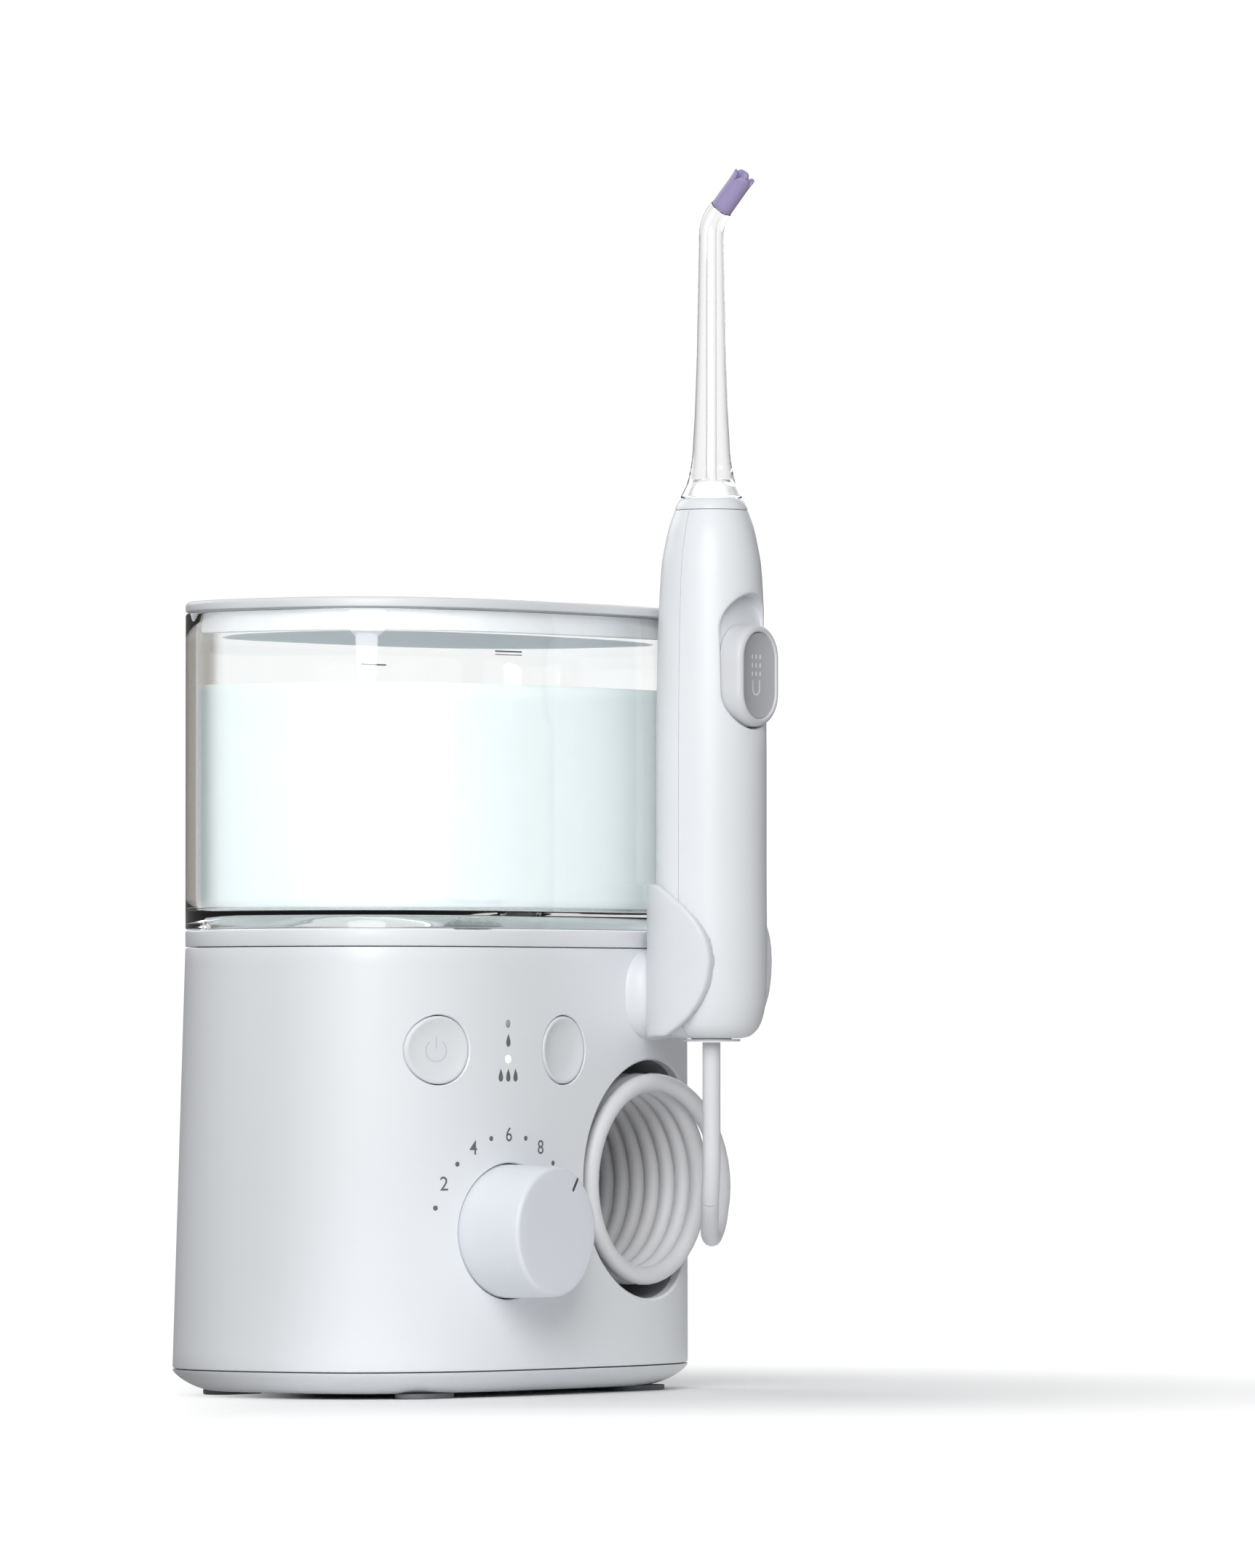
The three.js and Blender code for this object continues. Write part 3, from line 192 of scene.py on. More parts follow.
def clear(name, tint, roughness, ior, absorb, absorb_tint, ripple_depth, edge):
    """Clear moulded plastic: ripples, a trace of haze, painted grey shade at grazing edges, and colour that
    builds up with depth.
    """
    mat, tree, bsdf = new_material(name)
    ripple = noise_value(tree, 14, 1.0)
    haze = noise_value(tree, 5, 3.0)
    set_inputs(tree, bsdf, {
        "Base Color": painted_grazing_shade(tree, varied_colour(tree, haze, tint, 0.012), *edge), "IOR": ior,
        "Transmission Weight": 1.0, "Roughness": ranged(tree, haze, roughness * 0.6, roughness * 1.4),
        "Normal": bump(tree, ripple, ripple_depth, 0.6)})
    through = add_node(tree, "ShaderNodeBsdfTransparent", {"Color": (0.93, 0.94, 0.95)})
    shadow = add_node(tree, "ShaderNodeLightPath").outputs["Is Shadow Ray"]
    show_surface(tree, blend_shaders(tree, shadow, bsdf.outputs["BSDF"], through.outputs["BSDF"]))
    volume = add_node(tree, "ShaderNodeVolumeAbsorption", {"Color": absorb_tint, "Density": absorb})
    tree.links.new(volume.outputs["Volume"], tree.nodes["Material Output"].inputs["Volume"])
    return mat


def water_material():
    """Still water as a pale blue body that lets part of the light through, with a glossy skin; its edges
    carry painted shade and the whole body a painted glow.
    """
    mat, tree, bsdf = new_material("water")
    slow = noise_value(tree, 45, 2.0)
    fine = noise_value(tree, 6, 2.0)
    body = varied_colour(tree, slow, linear(232, 239, 240), 0.02)
    body_with_painted_shade = painted_grazing_shade(tree, body, 0.36, 0.72, linear(140, 150, 153))
    set_inputs(tree, bsdf, {
        # The emission is painted light: the water glows though it is no lamp.
        "Base Color": body_with_painted_shade, "Emission Color": body_with_painted_shade, "Emission Strength": 0.22, "Roughness": 0.12,
        "IOR": 1.33, "Normal": bump(tree, fine, 0.01, 0.5)})
    through = add_node(tree, "ShaderNodeBsdfTransparent", {"Color": linear(244, 249, 249)})
    share = ranged(tree, slow, 0.34, 0.38)
    show_surface(tree, blend_shaders(tree, share, bsdf.outputs["BSDF"], through.outputs["BSDF"]))
    return mat


def lamp_material(name, colour, strength):
    mat = moulded(name, colour, 0.25, 0.3, 0.002)
    tree = mat.node_tree
    set_inputs(tree, tree.nodes["Principled BSDF"], {"Emission Color": colour, "Emission Strength": strength})
    return mat


def board_material():
    """Green solder mask over copper tracks, with tinned pads."""
    mat, tree, bsdf = new_material("board_green")
    place = add_node(tree, "ShaderNodeTexCoord").outputs["Object"]
    tracks = add_node(tree, "ShaderNodeTexBrick", {
        "Vector": place, "Color1": linear(38, 98, 62), "Color2": linear(44, 112, 70),
        "Mortar": linear(70, 140, 84), "Scale": 140.0, "Mortar Size": 0.03})
    pads = add_node(tree, "ShaderNodeTexVoronoi", {"Vector": place, "Scale": 320.0})
    spot = maths(tree, "LESS_THAN", pads.outputs["Distance"], 0.16)
    set_inputs(tree, bsdf, {
        "Base Color": blend_colours(tree, spot, tracks.outputs["Color"], linear(196, 198, 194)),
        "Metallic": spot, "Roughness": 0.36, "Normal": bump(tree, tracks.outputs["Fac"], 0.03, 0.5)})
    return mat


SHELL = moulded("shell_white", linear(241, 243, 246), 0.36, 0.32, 0.0035, 30, 0.012, 0.04)
TRIM = moulded("trim_white", linear(232, 234, 237), 0.4, 0.28, 0.003, 24, 0.014, 0.04)
KNOB_PAINT = moulded("knob_white", linear(233, 236, 242), 0.42, 0.25, 0.004, 18, 0.014, 0.04)
SLIDER_RIM = moulded("slider_rim", linear(224, 225, 228), 0.45, 0.22, 0.004, 8, 0.015, 0.05)
# The thumb pad's grey is partly its own colour and partly painted shade of its dish.
SLIDER_PAD_GREY_AND_SHADE = moulded("slider_pad", linear(190, 191, 194), 0.5, 0.22, 0.006, 8, 0.02, 0.05)
HOSE_PAINT = moulded("hose_grey", linear(232, 232, 234), 0.5, 0.4, 0.008, 14, 0.025, 0.06, sheen=0.1)
# The last tuple of each clear plastic is its painted shade at grazing edges: start, end and shade colour.
CLEAR = clear("clear_plastic", linear(252, 253, 253), 0.015, 1.46, 7.0, (0.5, 0.48, 0.45), 0.01,
              (0.5, 0.6, linear(104, 99, 90)))
NOZZLE_CLEAR = clear("clear_nozzle", linear(252, 252, 252), 0.01, 1.47, 16.0, (0.5, 0.5, 0.49), 0.002,
                     (0.1, 0.75, linear(140, 139, 137)))
WATER = water_material()
LILAC = moulded("lilac_rubber", linear(167, 154, 197), 0.5, 0.5, 0.0006, 5, 0.015, 0.04, sheen=0.1)
PAD = moulded("pad_rubber", linear(120, 121, 124), 0.8, 0.2, 0.02, 5, 0.08, 0.06)
SEAL = moulded("seal_rubber", linear(43, 45, 48), 0.72, 0.2, 0.012, 4, 0.1, 0.08)
# The hose well's grey is painted shade: its white liner is darkened to stand for the shade inside the well.
WELL_SHADE_GREY = moulded("bay_grey", linear(162, 163, 165), 0.62, 0.35, 0.01, 16, 0.04, 0.06)
BOARD = board_material()
BLACK = moulded("black_plastic", linear(30, 31, 33), 0.46, 0.25, 0.01, 8, 0.1, 0.08)
ACETAL = moulded("gear_acetal", linear(240, 236, 222), 0.38, 0.3, 0.005, 6, 0.03, 0.06, subsurface=0.1)
PUMP = moulded("pump_grey", linear(142, 146, 151), 0.5, 0.3, 0.012, 10, 0.05, 0.07)
STEEL = moulded("steel", linear(190, 194, 198), 0.3, 0.5, 0.002, 6, 0.04, 0.06, 1.0, (1, 0.05, 1))
BRASS = moulded("brass", linear(205, 168, 92), 0.32, 0.5, 0.002, 5, 0.06, 0.08, 1.0, (1, 0.05, 1))
PRINT = moulded("print_grey", linear(112, 112, 115), 0.55, 0.15, 0.003, 3, 0.05, 0.05)
# The power mark's grey is painted shade: it stands for the shading of a faint raised mark in the button's
# white plastic.
EMBOSS_SHADE_GREY = moulded("power_mark_painted_shade", linear(214, 216, 222), 0.5, 0.15, 0.003, 3, 0.03, 0.04)
ICON = moulded("print_white", linear(240, 241, 243), 0.45, 0.15, 0.003, 3, 0.03, 0.04)
LAMP_ON = lamp_material("lamp_on", (1.0, 1.0, 1.0), 1.6)
LAMP_OFF = moulded("lamp_off", linear(172, 174, 178), 0.3, 0.2, 0.002, 3, 0.03, 0.04)
# The pointer's dark grey is painted shade: a dark bar that fills the groove cut in the dial.
GROOVE_SHADE = moulded("pointer_grey", linear(78, 79, 83), 0.5, 0.2, 0.005, 3, 0.06, 0.05)


# ---------------------------------------------------------------- mesh building

def add_object(name, data):
    obj = bpy.data.objects.new(name, data)
    scene.collection.objects.link(obj)
    return obj


def object_from(name, points, faces, smooth=32):
    """A closed mesh object with outward normals and edges kept sharp above an angle."""
    mesh = bpy.data.meshes.new(name)
    mesh.from_pydata([(x * MM, y * MM, z * MM) for x, y, z in points], [], faces)
    obj = add_object(name, mesh)
    tidy_mesh(obj, smooth)
    return obj


def tidy_mesh(obj, smooth=32):
    mesh = obj.data
    bm = bmesh.new()
    bm.from_mesh(mesh)
    bmesh.ops.remove_doubles(bm, verts=bm.verts, dist=1e-7)
    bmesh.ops.recalc_face_normals(bm, faces=bm.faces)
    bm.to_mesh(mesh)
    bm.free()
    for polygon in mesh.polygons:
        polygon.use_smooth = True
    mesh.set_sharp_from_angle(angle=math.radians(smooth))


def loft(name, rings, closed=False, smooth=32):
    """A solid through rings of equal point count; closed joins the last ring to the first."""
    count = len(rings[0])
    points = [p for ring in rings for p in ring]
    rows = len(rings)
    faces = []
    for row in range(rows if closed else rows - 1):
        low, high = row * count, ((row + 1) % rows) * count
        faces += [(low + i, low + (i + 1) % count, high + (i + 1) % count, high + i) for i in range(count)]
    if not closed:
        faces.append(tuple(range(count)))
        faces.append(tuple(range((rows - 1) * count, rows * count)))
    return object_from(name, points, faces, smooth)


def baked(obj, smooth=32):
    """The object with its modifiers applied."""
    mesh = bpy.data.meshes.new_from_object(obj.evaluated_get(bpy.context.evaluated_depsgraph_get()))
    obj.modifiers.clear()
    obj.data = mesh
    tidy_mesh(obj, smooth)
    return obj


def combine(obj, others, operation="DIFFERENCE", smooth=32):
    """Cuts the other solids out of obj, joins them to it or keeps what they share; the others are used up."""
    for other in others:
        step = obj.modifiers.new("combine", "BOOLEAN")
        step.operation, step.object, step.solver = operation, other, "EXACT"
    baked(obj, smooth)
    for other in others:
        bpy.data.objects.remove(other)
    return obj


def finished(obj, material, body, *nodes, slot=None):
    """Gives the piece its material and body, and hides the CAD nodes it stands for."""
    obj.data.materials.clear()
    obj.data.materials.append(material)
    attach(obj, body)
    if nodes:
        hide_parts(*nodes)
    return obj


def steps(start, end, count):
    """Evenly spaced values from start to end, both included."""
    return [start + (end - start) * i / count for i in range(count + 1)]


def circle(count, radius):
    return [(radius * math.cos(TAU * i / count), radius * math.sin(TAU * i / count)) for i in range(count)]


def turned_z(name, profile, x, y, sides=96, closed=False, smooth=32):
    """A solid of revolution about a vertical line; the profile lists (radius, z)."""
    rings = [[(x + u, y + v, z) for u, v in circle(sides, r)] for r, z in profile]
    return loft(name, rings, closed, smooth)


def turned_y(name, profile, x, z, sides=96, closed=False, smooth=32):
    """A solid of revolution about a line along Y; the profile lists (radius, y)."""
    rings = [[(x + u, y, z + v) for u, v in circle(sides, r)] for r, y in profile]
    return loft(name, rings, closed, smooth)


def block(name, low, high):
    (x0, y0, z0), (x1, y1, z1) = low, high
    ring = [(x0, y0), (x1, y0), (x1, y1), (x0, y1)]
    return loft(name, [[(x, y, z) for x, y in ring] for z in (z0, z1)])


def rounded_top(z, radius, count=4):
    """The points (inset, z) of a quarter-round upper edge, from the side face to the top face."""
    return [(radius * (1 - math.cos(a)), z - radius * (1 - math.sin(a)))
            for a in steps(0, math.pi / 2, count)]


def smooth_line(points, per_span=6):
    """A smooth curve through points of any dimension (centripetal Catmull-Rom)."""
    pts = [Vector(p) for p in points]
    pts = [pts[0] * 2 - pts[1]] + pts + [pts[-1] * 2 - pts[-2]]
    out = []
    for i in range(1, len(pts) - 2):
        p0, p1, p2, p3 = pts[i - 1:i + 3]
        t0 = 0.0
        t1 = t0 + max((p1 - p0).length, 1e-6) ** 0.5
        t2 = t1 + max((p2 - p1).length, 1e-6) ** 0.5
        t3 = t2 + max((p3 - p2).length, 1e-6) ** 0.5
        for k in range(per_span):
            t = t1 + (t2 - t1) * k / per_span
            a1 = p0 * ((t1 - t) / (t1 - t0)) + p1 * ((t - t0) / (t1 - t0))
            a2 = p1 * ((t2 - t) / (t2 - t1)) + p2 * ((t - t1) / (t2 - t1))
            a3 = p2 * ((t3 - t) / (t3 - t2)) + p3 * ((t - t2) / (t3 - t2))
            b1 = a1 * ((t2 - t) / (t2 - t0)) + a2 * ((t - t0) / (t2 - t0))
            b2 = a2 * ((t3 - t) / (t3 - t1)) + a3 * ((t - t1) / (t3 - t1))
            out.append(b1 * ((t2 - t) / (t2 - t1)) + b2 * ((t - t1) / (t2 - t1)))
    out.append(pts[-2])
    return out


def tube(name, path, radius, sides=16):
    """A round tube along a path, without twist."""
    path = [Vector(p) for p in path]
    nexts, befores = path[1:] + path[-1:], path[:1] + path[:-1]
    tangents = [(ahead - behind).normalized() for ahead, behind in zip(nexts, befores)]
    side = tangents[0].orthogonal().normalized()
    rings = []
    for point, tangent in zip(path, tangents):
        side = (side - tangent * side.dot(tangent)).normalized()
        other = tangent.cross(side)
        rings.append([tuple(point + side * u + other * v) for u, v in circle(sides, radius)])
    return loft(name, rings, smooth=50)


# ---------------------------------------------------------------- plan of the body

def signed_power(value, power):
    return math.copysign(abs(value) ** power, value)


def even_angles(count):
    """Superellipse parameters that space points evenly round the outline."""
    dense, power = 6000, 2 / PLAN_EXPONENT
    pts = [(HALF_WIDTH * signed_power(math.cos(a), power), HALF_DEPTH * signed_power(math.sin(a), power))
           for a in steps(0, TAU, dense)]
    length = [0.0]
    for p, q in zip(pts, pts[1:]):
        length.append(length[-1] + math.dist(p, q))
    out, k = [], 0
    for i in range(count):
        target = length[-1] * i / count
        while length[k + 1] < target:
            k += 1
        out.append(TAU * (k + (target - length[k]) / (length[k + 1] - length[k])) / dense)
    return out


ANGLES = even_angles(PLAN_POINTS)


def body_size(z, inset=0.0):
    """The body's half width and half depth at z, and how far its middle stands back."""
    flare = min(max((SEAM_Z - z) / (SEAM_Z - CREASE_Z), 0.0), 1.0)
    grown = FLARE_OUT * flare - inset
    return HALF_WIDTH + grown, HALF_DEPTH + grown, FLARE_BACK * flare


def plan_ring(z, inset):
    half_width, half_depth, back = body_size(z, inset)
    power = 2 / PLAN_EXPONENT
    return [(half_width * signed_power(math.cos(a), power),
             half_depth * signed_power(math.sin(a), power) + back, z) for a in ANGLES]


def plan_solid(name, profile, closed=False, smooth=32):
    """A solid with the body's plan; the profile lists (inset, z)."""
    return loft(name, [plan_ring(z, inset) for inset, z in profile], closed, smooth)


def wall_y(x, z, inset=0.0):
    """Where the front of the wall stands."""
    half_width, half_depth, back = body_size(z, inset)
    share = min(abs(x / half_width), 0.9999) ** PLAN_EXPONENT
    return back - half_depth * (1 - share) ** (1 / PLAN_EXPONENT)


def wall_disc(name, x, z, stations, count=72, smooth=32):
    """A round solid whose faces follow the front wall; stations list (radius, distance behind the wall)."""
    rings = []
    for radius, behind in stations:
        rings.append([(x + u, wall_y(x + u, z + v) + behind, z + v) for u, v in circle(count, radius)])
    return loft(name, rings, smooth=smooth)


def hole_cutter(x, z, radius, chamfer=0.3, count=72):
    """A round hole through the front wall, with a small chamfer that follows the wall; both ends are flat."""
    def flat(size, y):
        return [(x + u, y, z + v) for u, v in circle(count, size)]

    def on_wall(size, behind):
        return [(px, wall_y(px, pz) + behind, pz) for px, y, pz in flat(size, 0)]

    wide = radius + chamfer + 2
    return loft("cutter", [flat(wide, -62), on_wall(wide, -2), on_wall(radius, chamfer), flat(radius, -22)])


# ---------------------------------------------------------------- base

def build_base():
    outer = [(0.35, CREASE_Z), (0.1, CREASE_Z + 0.12), (0.0, CREASE_Z + 0.4)]
    outer += [(0.0, z) for z in steps(CREASE_Z, SEAM_Z, 26)[1:-1]]
    outer += [(0.0, SEAM_Z - 0.4), (0.1, SEAM_Z - 0.12), (0.35, SEAM_Z)]
    inner = [(WALL, SEAM_Z), (WALL, CREASE_Z)]
    housing = plan_solid("base_shell", outer + inner, closed=True)
    combine(housing, [
        hole_cutter(BAY_X, BAY_Z, BAY_RADIUS, 0.5, 120),
        hole_cutter(POWER_X, BUTTON_Z, BUTTON_RADIUS + 0.3, 0.25),
        hole_cutter(MODE_X, BUTTON_Z, BUTTON_RADIUS + 0.3, 0.25),
        hole_cutter(LED_X, LED_UPPER, 0.95, 0.05, 24),
        hole_cutter(LED_X, LED_LOWER, 0.95, 0.05, 24),
        hole_cutter(KNOB_X, KNOB_Z, 16.7, 0.3, 96),
        turned_y("cutter", [(4.65, 38), (4.65, 60)], CORD_X, CORD_Z, 40),
    ])
    finished(housing, SHELL, "base", "base_housing", slot="shell_white")

    profile = [(4.6, 112.2), (4.6, 106.3), (2.7, 106.3), (2.7, SEAM_Z + 0.25), (0.3, SEAM_Z + 0.25),
               (0.08, SEAM_Z + 0.33), (0, SEAM_Z + 0.55)]
    deck = plan_solid("base_top_plate", profile + rounded_top(DECK_TOP, 0.5))
    socket = turned_z("socket", [(3.2, 101), (3.2, 108), (8, 108), (8, 113)], 0, VALVE_Y, 48)
    combine(deck, [socket], "UNION")
    well = turned_z("well", [(1.6, 100), (1.6, 110), (6.2, 110), (6.2, 114.1), (7, 115)], 0, VALVE_Y, 48)
    combine(deck, [well])
    finished(deck, SHELL, "base", "base_deck", slot="shell_white")

    top, slant, squareness = CREASE_Z - 0.3, 8.5, 1.4
    edge = [(slant * (1 - math.cos(a) ** squareness),
             FOOT_Z + (top - FOOT_Z) * (1 - math.sin(a) ** squareness)) for a in steps(0, math.pi / 2, 12)]
    under = plan_solid("base_under_cover", [(4.5, 3.4), (4.5, 9.6), (2.7, 9.6), (2.7, top)] + edge)
    hole = [(3.2, 0), (3.2, 2.5), (1.75, 2.5), (1.75, 5)]
    combine(under, [turned_z("hole", hole, x, y, 32) for x, y in SCREW_SPOTS])
    finished(under, TRIM, "base", "bottom_cover", slot="trim_white")

    arc = steps(0, math.pi, 16)
    for place, (x, y) in FOOT_SPOTS.items():
        rings = []
        for r, z in [(3.7, 0), (4.05, 0.12), (4.2, 0.45), (4.2, 0.9), (4.1, FOOT_Z)]:
            ring = [(x + 5 + r * math.sin(a), y - r * math.cos(a), z) for a in arc]
            ring += [(x - 5 - r * math.sin(a), y + r * math.cos(a), z) for a in arc]
            rings.append(ring)
        finished(loft("foot_pad_" + place, rings), PAD, "base", "foot_" + place, slot="pad_rubber")


def build_bay():
    """The round well for the hose, whose mouth follows the wall, with a filleted floor."""
    def ring(radius, depth=None, inset=WALL + 0.3):
        return [(BAY_X + u, wall_y(BAY_X + u, BAY_Z + v, inset) if depth is None else depth, BAY_Z + v)
                for u, v in circle(120, radius)]
    fillet = [ring(BAY_RADIUS - 3 * (1 - math.cos(a)), 2.5 + 3 * math.sin(a))
              for a in (0, 0.26, 0.52, 0.79, 1.05, 1.31, 1.57)]
    rings = [ring(20, 7.1), ring(31.3, 7.1), ring(31.3), ring(BAY_RADIUS)]
    rings += [ring(BAY_RADIUS, y) for y in (-24, -14, -5)] + fillet + [ring(20, 5.5)]
    bay = loft("hose_well", rings)
    combine(bay, [turned_y("passage", [(3.2, 0), (3.2, 12)], BAY_X, BAY_Z - COIL_RADIUS, 24)])
    # The well's grey material is painted shade.
    finished(bay, WELL_SHADE_GREY, "base", "hose_bay", slot="bay_grey")


def build_cradle():
    """The C-shaped holder: two wings round the handle, drawn out of the wall by a flared neck."""
    wings = turned_z("cradle", [(14, 88), (16, 88), (16, 126.3), (14, 126.3)], HANDLE_X, HANDLE_Y, 96, True)
    outline = [(-40, 126.3), (-53.7, 126.0)]
    for start, middle, end in [((-53.7, 126.0), (-69.8, 119.5), (-69.8, 107)),
                               ((-69.8, 107), (-69.4, 93.5), (-57.5, 88.3))]:
        for t in steps(0, 1, 16)[1:]:
            outline.append(tuple((1 - t) ** 2 * s + 2 * t * (1 - t) * m + t * t * e
                                 for s, m, e in zip(start, middle, end)))
    outline.append((-40, 88))
    side = loft("outline", [[(x, y, z) for y, z in outline] for x in (HANDLE_X - 20, HANDLE_X + 20)])
    combine(wings, [side], "INTERSECT")
    stations = [(-40.5, 13.6, 11.6), (-43.2, 13.4, 11.4), (-44.4, 12.5, 10.8), (-45.4, 11.4, 10.2),
                (-46.4, 10.5, 9.8), (-47.6, 10, 9.6)]
    rings = []
    for y, half_width, half_height in stations:
        rings.append([(HANDLE_X + half_width * signed_power(math.cos(TAU * i / 40), 0.8), y,
                       98.8 + half_height * signed_power(math.sin(TAU * i / 40), 0.8)) for i in range(40)])
    neck = loft("neck", rings)
    combine(neck, [turned_z("bore", [(14.3, 80), (14.3, 130)], HANDLE_X, HANDLE_Y, 96)])
    combine(wings, [neck], "UNION")
    remesh = wings.modifiers.new("remesh", "REMESH")
    remesh.mode, remesh.voxel_size = "VOXEL", 0.42 * MM
    soften = wings.modifiers.new("soften", "SMOOTH")
    soften.factor, soften.iterations = 0.5, 9
    thin = wings.modifiers.new("thin", "DECIMATE")
    thin.ratio = 0.4
    baked(wings, 60)
    combine(wings, [plan_solid("trim", [(-0.05, 60), (-0.05, 130)])], smooth=60)
    finished(wings, TRIM, "base", "handle_cradle", slot="trim_white")


def button_dish(r):
    """How far a button's face lies behind the wall, at a distance r from its middle."""
    return 1.05 * (1 - (r / (BUTTON_RADIUS - 0.9)) ** 3)


def build_buttons():
    dish = [(r, button_dish(r)) for r in steps(0.6, BUTTON_RADIUS - 1, 8)]
    edge = [(BUTTON_RADIUS - 0.75, -0.06), (BUTTON_RADIUS - 0.42, -0.08), (BUTTON_RADIUS - 0.16, 0.02),
            (BUTTON_RADIUS - 0.03, 0.22), (BUTTON_RADIUS, 0.55), (BUTTON_RADIUS, 3.2)]
    for use, x in [("power", POWER_X), ("mode", MODE_X)]:
        cap = wall_disc(use + "_button_cap", x, BUTTON_Z, dish + edge, smooth=50)
        stem = turned_y("stem", [(2, wall_y(x, BUTTON_Z) + 3), (2, -30.5)], x, BUTTON_Z, 32)
        combine(cap, [stem], "UNION", 50)
        finished(cap, TRIM, use + "_key", use + "_button", slot="trim_white")
    lens = [(0.2, -0.06), (0.5, -0.03), (0.72, 0.04), (0.8, 0.15), (0.8, 14)]
    for place, z, mat in [("upper", LED_UPPER, LAMP_OFF), ("lower", LED_LOWER, LAMP_ON)]:
        finished(wall_disc(place + "_lamp_lens", LED_X, z, lens, 32), mat, "base", place + "_light_pipe",
                 slot="clear_plastic")


def build_knob():
    face, back = -57.6, -37.5
    corner = [(15.9 - 1.1 * (1 - math.sin(a)), face + 1.1 * (1 - math.cos(a)))
              for a in (0, 0.26, 0.52, 0.79, 1.05, 1.31, 1.5708)]
    profile = [(1, face + 0.12), (7, face + 0.1), (12.5, face + 0.03)] + corner
    profile += [(16.1, -50), (16.35, -42), (16.4, back), (14.6, back), (14.1, face + 1.8), (4.2, face + 1.8),
                (4.2, back - 1), (1.95, back - 1), (1.95, face + 4)]
    knob = turned_y("pressure_dial", profile, KNOB_X, KNOB_Z, 128)
    turn, reach = math.radians(33), 13.6

    def bar(half_length, half_width, y0, y1, name):
        """A bar with round ends, along the dial's radius."""
        rings = []
        for y in (y0, y1):
            ring = []
            for u, v in circle(24, half_width):
                along = reach + math.copysign(half_length - half_width, v) + v
                ring.append((KNOB_X + along * math.sin(turn) + u * math.cos(turn), y,
                             KNOB_Z + along * math.cos(turn) - u * math.sin(turn)))
            rings.append(ring)
        return loft(name, rings)

    combine(knob, [bar(1.95, 0.46, face - 1, face + 0.4, "groove")])
    finished(knob, KNOB_PAINT, "knob", "pressure_knob", slot="trim_white")
    # The dark pointer bar in the groove is painted shade.
    finished(bar(1.93, 0.44, face + 0.1, face + 0.38, "dial_pointer"), GROOVE_SHADE, "knob", slot="slider_grey")


# ---------------------------------------------------------------- prints on the panel

def surface_strip(name, path, width, surface, proud=0.03):
    """A thin raised line; path lists (x, z), and surface gives y there."""
    rings = []
    for i, (x, z) in enumerate(path):
        ahead, behind = path[min(i + 1, len(path) - 1)], path[max(i - 1, 0)]
        dx, dz = ahead[0] - behind[0], ahead[1] - behind[1]
        size = math.hypot(dx, dz)
        nx, nz = -dz / size * width / 2, dx / size * width / 2
        left, right = (x + nx, z + nz), (x - nx, z - nz)
        corners = [(left, -proud), (right, -proud), (right, 0.02), (left, 0.02)]
        rings.append([(px, surface(px, pz) + offset, pz) for (px, pz), offset in corners])
    return loft(name, rings)


def surface_patch(name, outline, surface, proud=0.03):
    rings = [[(x, surface(x, z) + offset, z) for x, z in outline] for offset in (0.02, -proud)]
    return loft(name, rings)


def joined(name, parts):
    """Several small closed meshes as one piece."""
    bm = bmesh.new()
    for part in parts:
        bm.from_mesh(part.data)
        bpy.data.objects.remove(part)
    mesh = bpy.data.meshes.new(name)
    bm.to_mesh(mesh)
    bm.free()
    return add_object(name, mesh)


def numeral(text, x, z, size=4.9):
    curve = bpy.data.curves.new("numeral", "FONT")
    curve.body, curve.size, curve.extrude, curve.offset = text, size * MM, 0.025 * MM, 0.012 * MM
    curve.align_x, curve.align_y = "CENTER", "CENTER"
    curve.resolution_u = 6
    source = add_object("numeral", curve)
    mesh = bpy.data.meshes.new_from_object(source.evaluated_get(bpy.context.evaluated_depsgraph_get()))
    bpy.data.objects.remove(source)
    for v in mesh.vertices:
        px, pz, out = v.co.x / MM + x, v.co.y / MM + z, v.co.z
        v.co = (px * MM, wall_y(px, pz) * MM - 0.005 * MM - out, pz * MM)
    obj = add_object("numeral", mesh)
    tidy_mesh(obj, 30)
    return obj


def drop_outline(x, z, height):
    """A teardrop, point up."""
    return [(x + 0.33 * height * math.sin(a) * math.sin(a / 2) ** 1.4, z + height / 2 * math.cos(a))
            for a in steps(0, TAU, 40)[:-1]]


def build_prints():
    def on_scale(position):
        """A place on the ring of marks; position 0 is straight up."""
        a = math.radians(position * SCALE_STEP)
        return DIAL_MIDDLE_X + SCALE_RADIUS * math.sin(a), KNOB_Z + SCALE_RADIUS * math.cos(a)

    parts = [numeral(str(2 * i + 6), *on_scale(i)) for i in range(-2, 3)]
    for i in range(-2, 3):
        x, z = on_scale(i - 0.5)
        parts.append(surface_patch("dot", [(x + u, z + v) for u, v in circle(20, 0.62)], wall_y))
    finished(joined("dial_scale_print", parts), PRINT, "base")

    drops = [surface_patch("drop", drop_outline(LED_X, 87.4, 3.2), wall_y)]
    drops += [surface_patch("drop", drop_outline(LED_X + dx, 78.9, 3.2), wall_y) for dx in (-2.6, 0, 2.6)]
    finished(joined("mode_print", drops), PRINT, "base")

    def dished(x, z):
        return wall_y(x, z) + button_dish(math.hypot(x - POWER_X, z - BUTTON_Z))

    gap = math.radians(38)
    arc = [(POWER_X + 2.7 * math.sin(a), BUTTON_Z - 0.1 + 2.7 * math.cos(a))
           for a in steps(gap, TAU - gap, 36)]
    stroke = [(POWER_X, z) for z in steps(BUTTON_Z + 0.4, BUTTON_Z + 3.3, 5)]
    power = [surface_strip("arc", arc, 0.36, dished), surface_strip("bar", stroke, 0.36, dished)]
    # The power mark's grey is painted shade of a faint raised mark.
    finished(joined("power_mark", power), EMBOSS_SHADE_GREY, "power_key")


# ---------------------------------------------------------------- tank and lid

